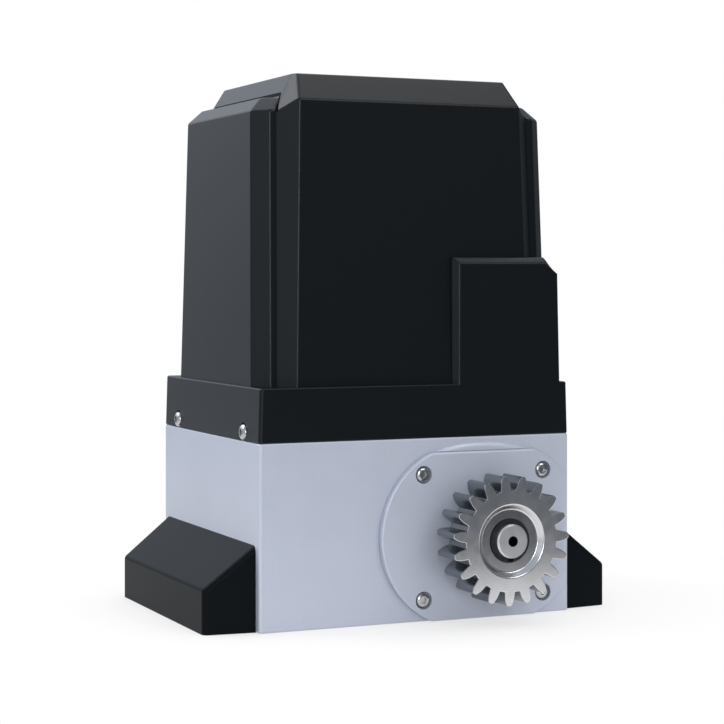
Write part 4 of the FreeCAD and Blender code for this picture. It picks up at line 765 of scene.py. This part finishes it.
def make_world():
    """White for the camera and even light for matt surfaces; gloss sees a dark side and a bright one."""
    world = bpy.data.worlds.new("Studio")
    bpy.context.scene.world = world
    world.use_nodes = True
    tree = world.node_tree
    nodes, links = tree.nodes, tree.links
    nodes.clear()
    output = nodes.new("ShaderNodeOutputWorld")
    rays = nodes.new("ShaderNodeLightPath").outputs
    place = nodes.new("ShaderNodeTexCoord")

    def side(direction, start, end, low, high):
        """A level that changes from low to high towards a direction."""
        towards = nodes.new("ShaderNodeVectorMath")
        towards.operation = "DOT_PRODUCT"
        towards.inputs[1].default_value = direction
        links.new(place.outputs["Generated"], towards.inputs[0])
        return map_range(tree, towards.outputs["Value"], start, end, low, high, "SMOOTHSTEP")

    def light(colour, strength):
        """A background of one colour, its strength a number or a level."""
        surround = nodes.new("ShaderNodeBackground")
        surround.inputs["Color"].default_value = (*colour, 1)
        if isinstance(strength, float):
            surround.inputs["Strength"].default_value = strength
        else:
            links.new(strength, surround.inputs["Strength"])
        return surround.outputs[0]

    gloss = combine(tree, "ADD", side(DARK_SIDE, start=0.20, end=0.66, low=0.53, high=0.15),
                    side(BRIGHT_SIDE, start=0.66, end=0.95, low=0.0, high=1.3))
    surround = mix_shaders(tree, rays["Is Glossy Ray"], light((1, 1, 1), 0.80),
                           light((0.83, 0.90, 1.0), gloss))
    clear = combine(tree, "MAXIMUM", rays["Is Camera Ray"], rays["Is Transmission Ray"])
    links.new(mix_shaders(tree, clear, surround, light((1, 1, 1), 1.0)), output.inputs["Surface"])


def make_lamp(name, place, target, size, power):
    data = bpy.data.lights.new(name, "AREA")
    data.shape = "RECTANGLE"
    data.size, data.size_y = size
    data.energy = power
    lamp = bpy.data.objects.new(name, data)
    lamp.location = place
    lamp.rotation_euler = (Vector(target) - Vector(place)).to_track_quat("-Z", "Y").to_euler()
    bpy.context.scene.collection.objects.link(lamp)


# Each lamp's name, place, target, size and power in watts
LAMPS = (
    ("lamp_left", (-2.2, -0.9, 0.8), (0, 0, 0.15), (1.2, 1.4), 3.0),
    ("lamp_behind", (-1.3, 0.75, 1.8), (0, 0, 0.30), (0.9, 0.9), 14.0),
    ("lamp_above", (0.6, 0.34, 2.2), (0, 0, 0.25), (1.7, 1.3), 12.5),
    ("lamp_high_front", (0.9, -2.0, 2.1), (0, 0, 0.10), (1.5, 1.0), 15.0),
    ("lamp_low_front", (-1.15, -2.6, 0.75), (0, 0, 0.15), (0.4, 1.2), 17.0),
)


def cut_notch(piece, start, stop, outward, depth):
    """Cut a V-shaped notch along a line on a surface, with a square bar that lies on its edge."""
    along = (stop - start).normalized()
    out = (outward - along * outward.dot(along)).normalized()
    side = along.cross(out)
    width = depth * math.sqrt(2)
    turn = Matrix((along * (stop - start).length, (out - side).normalized() * width,
                   (out + side).normalized() * width)).transposed()
    leave_all()
    bpy.ops.mesh.primitive_cube_add(size=1)
    cutter = bpy.context.object
    cutter.matrix_world = Matrix.Translation((start + stop) / 2) @ turn.to_4x4()
    bpy.context.view_layer.update()
    apply(piece, "BOOLEAN", operation="DIFFERENCE", object=cutter, solver="EXACT")
    bpy.data.objects.remove(cutter)


def cut_pad_notches(hood):
    """A shadow line between the tower and each side pad: along its top and down both its corners."""
    for side in (-1, 1):
        corners = []
        for end in (-1, 1):
            mirror = Vector((side, end, 1))
            corner, stop = PAD_CORNER * mirror, PAD_SLANT_END * mirror
            corners.append(corner)
            stop += (stop - corner) * PAD_SLANT_OVERRUN
            cut_notch(hood, corner, stop, PAD_SLANT_OUT * mirror, NOTCH_DEPTH)
        cut_notch(hood, *corners, PAD_TOP_OUT * Vector((side, 1, 1)), NOTCH_DEPTH)


def make_hood(sizes):
    """The moulded hood with its outer edges rounded, the hollows between its steps left sharp."""
    hood = copy_node("hood", "hood_shell")
    heart = Vector((0, 0, 0.1))

    def outside(middle, normals):
        """On the riser, or between faces that both look away from the hood's heart."""
        low, high = CUT_CORNER_LEVELS
        on_riser = middle.x > RISER_LEFT and middle.y < RISER_BACK
        on_cut_corner = middle.x > CUT_CORNER_LEFT and middle.y < CUT_CORNER_BACK and low < middle.z < high
        return middle.z > BASE_HEIGHT + SKIRT_STRIP and not on_cut_corner and (
            on_riser or all(normal.dot(middle - heart) > 0 for normal in normals))

    def lip(middle, normals):
        at_end, at_side = LIP_REACH
        return abs(middle.z - BASE_HEIGHT) < LEVEL_TOLERANCE and (
            abs(middle.x) > BASE_HALF_LENGTH - at_end or abs(middle.y) > BASE_HALF_WIDTH - at_side)

    bevel(hood, outer_edges(hood, 12, outside), sizes.hood_edge)
    bevel(hood, outer_edges(hood, 30, lip), 0.8 * sizes.hood_edge)
    cut_pad_notches(hood)
    smooth(hood)
    settle(hood, "hood", finish("hood_plastic"))


def make_casting(sizes):
    """The casting with its outer edges broken, so that they catch the light."""
    casting = copy_node("base_casting", "casting_body")

    def outside(middle, normals):
        rim = min(abs(middle.z - BASE_HEIGHT), abs(middle.z)) < RIM_TOLERANCE and (
            abs(abs(middle.x) - BASE_HALF_LENGTH) < CASTING_CORNER
            or abs(abs(middle.y) - BASE_HALF_WIDTH) < CASTING_CORNER)
        fairing = middle.y < -BASE_HALF_WIDTH - FAIRING_OUT and middle.z > FAIRING_LOW
        return rim or fairing

    bevel(casting, outer_edges(casting, 25, outside), sizes.casting_edge)
    smooth(casting)
    settle(casting, "base_casting", finish("cast_paint"))


def make_front_plate():
    plate = copy_node("output_cover_plate", "front_plate")
    smooth(plate)
    settle(plate, "output_cover_plate", finish("cast_paint"))


def make_foot_covers():
    for node in ("left_foot_cover", "right_foot_cover"):
        cover = copy_node(node, node + "_shell")
        smooth(cover)
        settle(cover, node, finish("foot_plastic"))


def make_pinion(sizes):
    """The pinion with its teeth deburred, the shaft it sits on and the ring that holds it."""
    pinion = copy_node("pinion", "pinion_gear")
    round_edges(pinion, sizes.pinion_edge)
    smooth(pinion, GEAR_SMOOTH_ANGLE)
    settle(pinion, "pinion", finish("gear_steel"))
    shaft = copy_node("output_shaft", "drive_shaft")
    smooth(shaft, GEAR_SMOOTH_ANGLE)
    settle(shaft, "output_shaft", finish("machined_steel"))
    ring = copy_node("pinion_retaining_ring", "snap_ring")
    round_edges(ring, RING_EDGE)
    smooth(ring)
    settle(ring, "pinion_retaining_ring", finish("black_steel"))


def grow(rise, widen, height):
    """Extrude the selected face upwards and widen or narrow it at its new height."""
    bpy.ops.mesh.extrude_region_move(TRANSFORM_OT_translate={"value": (0, 0, rise)})
    bpy.ops.transform.resize(value=(widen, widen, 1), center_override=(0, 0, height))


def button_screw(name, sizes, shank_length):
    """A button-head screw with a hexagon socket, upright on its seat at the origin."""
    leave_all()
    radius, rise = sizes.screw_head, sizes.screw_rise
    bpy.ops.mesh.primitive_circle_add(vertices=sizes.screw_facets, radius=radius, fill_type="NGON")
    screw = bpy.context.object
    screw.name = screw.data.name = name
    bpy.ops.object.mode_set(mode="EDIT")
    bpy.ops.mesh.select_all(action="SELECT")
    height, wide = 0.0, 1.0
    for share, reach in HEAD_OUTLINE:
        grow(share * rise - height, reach / wide, share * rise)
        height, wide = share * rise, reach
    bpy.ops.object.mode_set(mode="OBJECT")
    choose(screw, "FACE", lambda face: face.center.z < MERGE_DISTANCE and abs(face.normal.z) > 0.9)
    bpy.ops.mesh.inset(thickness=radius - sizes.screw_shank)
    grow(-shank_length + SHANK_POINT, 1.0, -shank_length)
    grow(-SHANK_POINT, 0.8, -shank_length)
    bpy.ops.mesh.select_all(action="SELECT")
    bpy.ops.mesh.normals_make_consistent(inside=False)
    bpy.ops.object.mode_set(mode="OBJECT")
    leave_all()
    bpy.ops.mesh.primitive_cylinder_add(vertices=6, radius=sizes.screw_socket, depth=rise,
                                        location=(0, 0, rise))
    cutter = bpy.context.object
    apply(screw, "BOOLEAN", operation="DIFFERENCE", object=cutter, solver="EXACT")
    bpy.data.objects.remove(cutter)
    round_edges(screw, SCREW_EDGE, sharper_than=50)
    smooth(screw, SCREW_SMOOTH_ANGLE)
    return screw


def copies(model, places, node):
    """A copy of the model at each place, all of them instead of one CAD node."""
    for number, place in enumerate(places, 1):
        piece = bpy.data.objects.new("%s_%d" % (model.name, number), model.data.copy())
        bpy.context.scene.collection.objects.link(piece)
        place_mesh(piece, place)
        settle(piece, node, finish("bright_steel"))
    bpy.data.objects.remove(model)


def make_screws(sizes):
    """Four screws round the front plate and two through each side of the hood, each turned its own way."""
    forward = Matrix.Rotation(math.radians(90), 4, "X")
    across, up = PLATE_SCREW_SPREAD
    places = []
    for number, (side, level) in enumerate(((-1, -1), (1, -1), (-1, 1), (1, 1))):
        centre = Vector((DRIVE_AXIS.x + side * across, PLATE_SCREW_SEAT, DRIVE_AXIS.z + level * up))
        places.append(Matrix.Translation(centre) @ forward
                      @ Matrix.Rotation(math.radians(17 + 23 * number), 4, "Z"))
    copies(button_screw("plate_screw", sizes, PLATE_SHANK), places, "cover_plate_screws")
    back, up = HOOD_SCREW_PLACE
    places = []
    for number, (side, end) in enumerate(((-1, -1), (-1, 1), (1, -1), (1, 1))):
        centre = Vector((side * HOOD_SCREW_SEAT, end * back, up))
        places.append(Matrix.Translation(centre) @ Matrix.Rotation(math.radians(90 * side), 4, "Y")
                      @ Matrix.Rotation(math.radians(11 + 31 * number), 4, "Z"))
    copies(button_screw("skirt_screw", sizes, HOOD_SHANK), places, "hood_screws")


def make_release(sizes):
    """The release lever and, in it, the plug of its lock."""
    lever = copy_node("release_lever", "release_handle")
    round_edges(lever, sizes.lever_edge, segments=3)
    smooth(lever)
    settle(lever, "release_lever", finish("hood_plastic"))
    lock = copy_node("lock_plug", "lock_barrel")
    round_edges(lock, LOCK_EDGE)
    smooth(lock)
    settle(lock, "lock_plug", finish("lock_steel"))


def make_clutch_spring():
    """A smooth copy of the clutch spring in spring steel, in place of its CAD node."""
    spring = copy_node("clutch_spring", "return_spring")
    smooth(spring)
    spring.data.materials.clear()
    spring.data.materials.append(finish("spring_steel"))
    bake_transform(spring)
    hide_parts("clutch_spring")


def make_inner_parts():
    """Every CAD node that stays gets its finish; the worm shaft's has its rings about its own axis."""
    for node, piece in frame["nodes"].items():
        if piece.hide_render:
            continue
        material = finish("motor_shaft_steel" if node == "worm_shaft" else SLOTS[node])
        if piece.material_slots:
            for slot in piece.material_slots:
                slot.material = material
        else:
            piece.data.materials.append(material)


class GATEMOTOR_OT_stage(bpy.types.Operator):
    """Set up the camera, the pale floor, the surround and the soft lamps"""

    bl_idname = "gate_motor.stage"
    bl_label = "Studio"

    def execute(self, context):
        studio = context.scene.gate_motor_studio
        context.scene.view_settings.view_transform = "Standard"
        make_camera(studio)
        make_floor(studio)
        make_world()
        for lamp in LAMPS:
            make_lamp(*lamp)
        return {"FINISHED"}


class GATEMOTOR_OT_hood(bpy.types.Operator):
    """Round the moulded hood's edges and grain its plastic"""

    bl_idname = "gate_motor.hood"
    bl_label = "Hood"

    def execute(self, context):
        make_hood(context.scene.gate_motor_sizes)
        return {"FINISHED"}


class GATEMOTOR_OT_casting(bpy.types.Operator):
    """Break the die casting's edges and paint it"""

    bl_idname = "gate_motor.casting"
    bl_label = "Base casting"

    def execute(self, context):
        make_casting(context.scene.gate_motor_sizes)
        return {"FINISHED"}


class GATEMOTOR_OT_front_plate(bpy.types.Operator):
    """Finish the round-shouldered plate that carries the drive shaft"""

    bl_idname = "gate_motor.front_plate"
    bl_label = "Front plate"

    def execute(self, context):
        make_front_plate()
        return {"FINISHED"}


class GATEMOTOR_OT_foot_covers(bpy.types.Operator):
    """Finish the covers over the anchor flanges"""

    bl_idname = "gate_motor.foot_covers"
    bl_label = "Foot covers"

    def execute(self, context):
        make_foot_covers()
        return {"FINISHED"}


class GATEMOTOR_OT_pinion(bpy.types.Operator):
    """Deburr the pinion and finish the shaft and its snap ring"""

    bl_idname = "gate_motor.pinion"
    bl_label = "Pinion and shaft"

    def execute(self, context):
        make_pinion(context.scene.gate_motor_sizes)
        return {"FINISHED"}


class GATEMOTOR_OT_screws(bpy.types.Operator):
    """Model the button-head screws of the plate and the hood"""

    bl_idname = "gate_motor.screws"
    bl_label = "Button-head screws"

    def execute(self, context):
        make_screws(context.scene.gate_motor_sizes)
        return {"FINISHED"}


class GATEMOTOR_OT_release(bpy.types.Operator):
    """Finish the release lever and its lock"""

    bl_idname = "gate_motor.release"
    bl_label = "Release lever and lock"

    def execute(self, context):
        make_release(context.scene.gate_motor_sizes)
        return {"FINISHED"}


class GATEMOTOR_OT_clutch_spring(bpy.types.Operator):
    """Finish the clutch spring in spring steel"""

    bl_idname = "gate_motor.clutch_spring"
    bl_label = "Clutch spring"

    def execute(self, context):
        make_clutch_spring()
        return {"FINISHED"}


class GATEMOTOR_OT_inner_parts(bpy.types.Operator):
    """Give the gears, the motor and the electronics their finishes"""

    bl_idname = "gate_motor.inner_parts"
    bl_label = "Inner parts"

    def execute(self, context):
        make_inner_parts()
        return {"FINISHED"}


OPERATORS = (
    GATEMOTOR_OT_stage,
    GATEMOTOR_OT_hood,
    GATEMOTOR_OT_casting,
    GATEMOTOR_OT_front_plate,
    GATEMOTOR_OT_foot_covers,
    GATEMOTOR_OT_pinion,
    GATEMOTOR_OT_screws,
    GATEMOTOR_OT_release,
    GATEMOTOR_OT_clutch_spring,
    GATEMOTOR_OT_inner_parts,
)


class GATEMOTOR_PT_panel(bpy.types.Panel):
    """Lists the gate motor's sizes, colours and steps"""

    bl_label = "Sliding Gate Motor"
    bl_idname = "GATEMOTOR_PT_panel"
    bl_space_type = "VIEW_3D"
    bl_region_type = "UI"
    bl_category = "Gate Motor"

    def draw(self, context):
        layout = self.layout
        for group in (context.scene.gate_motor_sizes, context.scene.gate_motor_colours,
                      context.scene.gate_motor_studio):
            box = layout.box()
            for name in group.__annotations__:
                box.prop(group, name)
        for operator in OPERATORS:
            layout.operator(operator.bl_idname)


GROUPS = (
    ("gate_motor_sizes", GateMotorSizes),
    ("gate_motor_colours", GateMotorColours),
    ("gate_motor_studio", GateMotorStudio),
)


def register():
    for name, group in GROUPS:
        bpy.utils.register_class(group)
        setattr(bpy.types.Scene, name, PointerProperty(type=group))
    for operator in OPERATORS:
        bpy.utils.register_class(operator)
    bpy.utils.register_class(GATEMOTOR_PT_panel)


def unregister():
    bpy.utils.unregister_class(GATEMOTOR_PT_panel)
    for operator in reversed(OPERATORS):
        bpy.utils.unregister_class(operator)
    for name, group in reversed(GROUPS):
        delattr(bpy.types.Scene, name)
        bpy.utils.unregister_class(group)


def main():
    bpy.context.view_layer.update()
    register()
    bpy.ops.gate_motor.stage()
    bpy.ops.gate_motor.hood()
    bpy.ops.gate_motor.casting()
    bpy.ops.gate_motor.front_plate()
    bpy.ops.gate_motor.foot_covers()
    bpy.ops.gate_motor.pinion()
    bpy.ops.gate_motor.screws()
    bpy.ops.gate_motor.release()
    bpy.ops.gate_motor.clutch_spring()
    bpy.ops.gate_motor.inner_parts()
    leave_all()


if __name__ == "__main__":
    main()
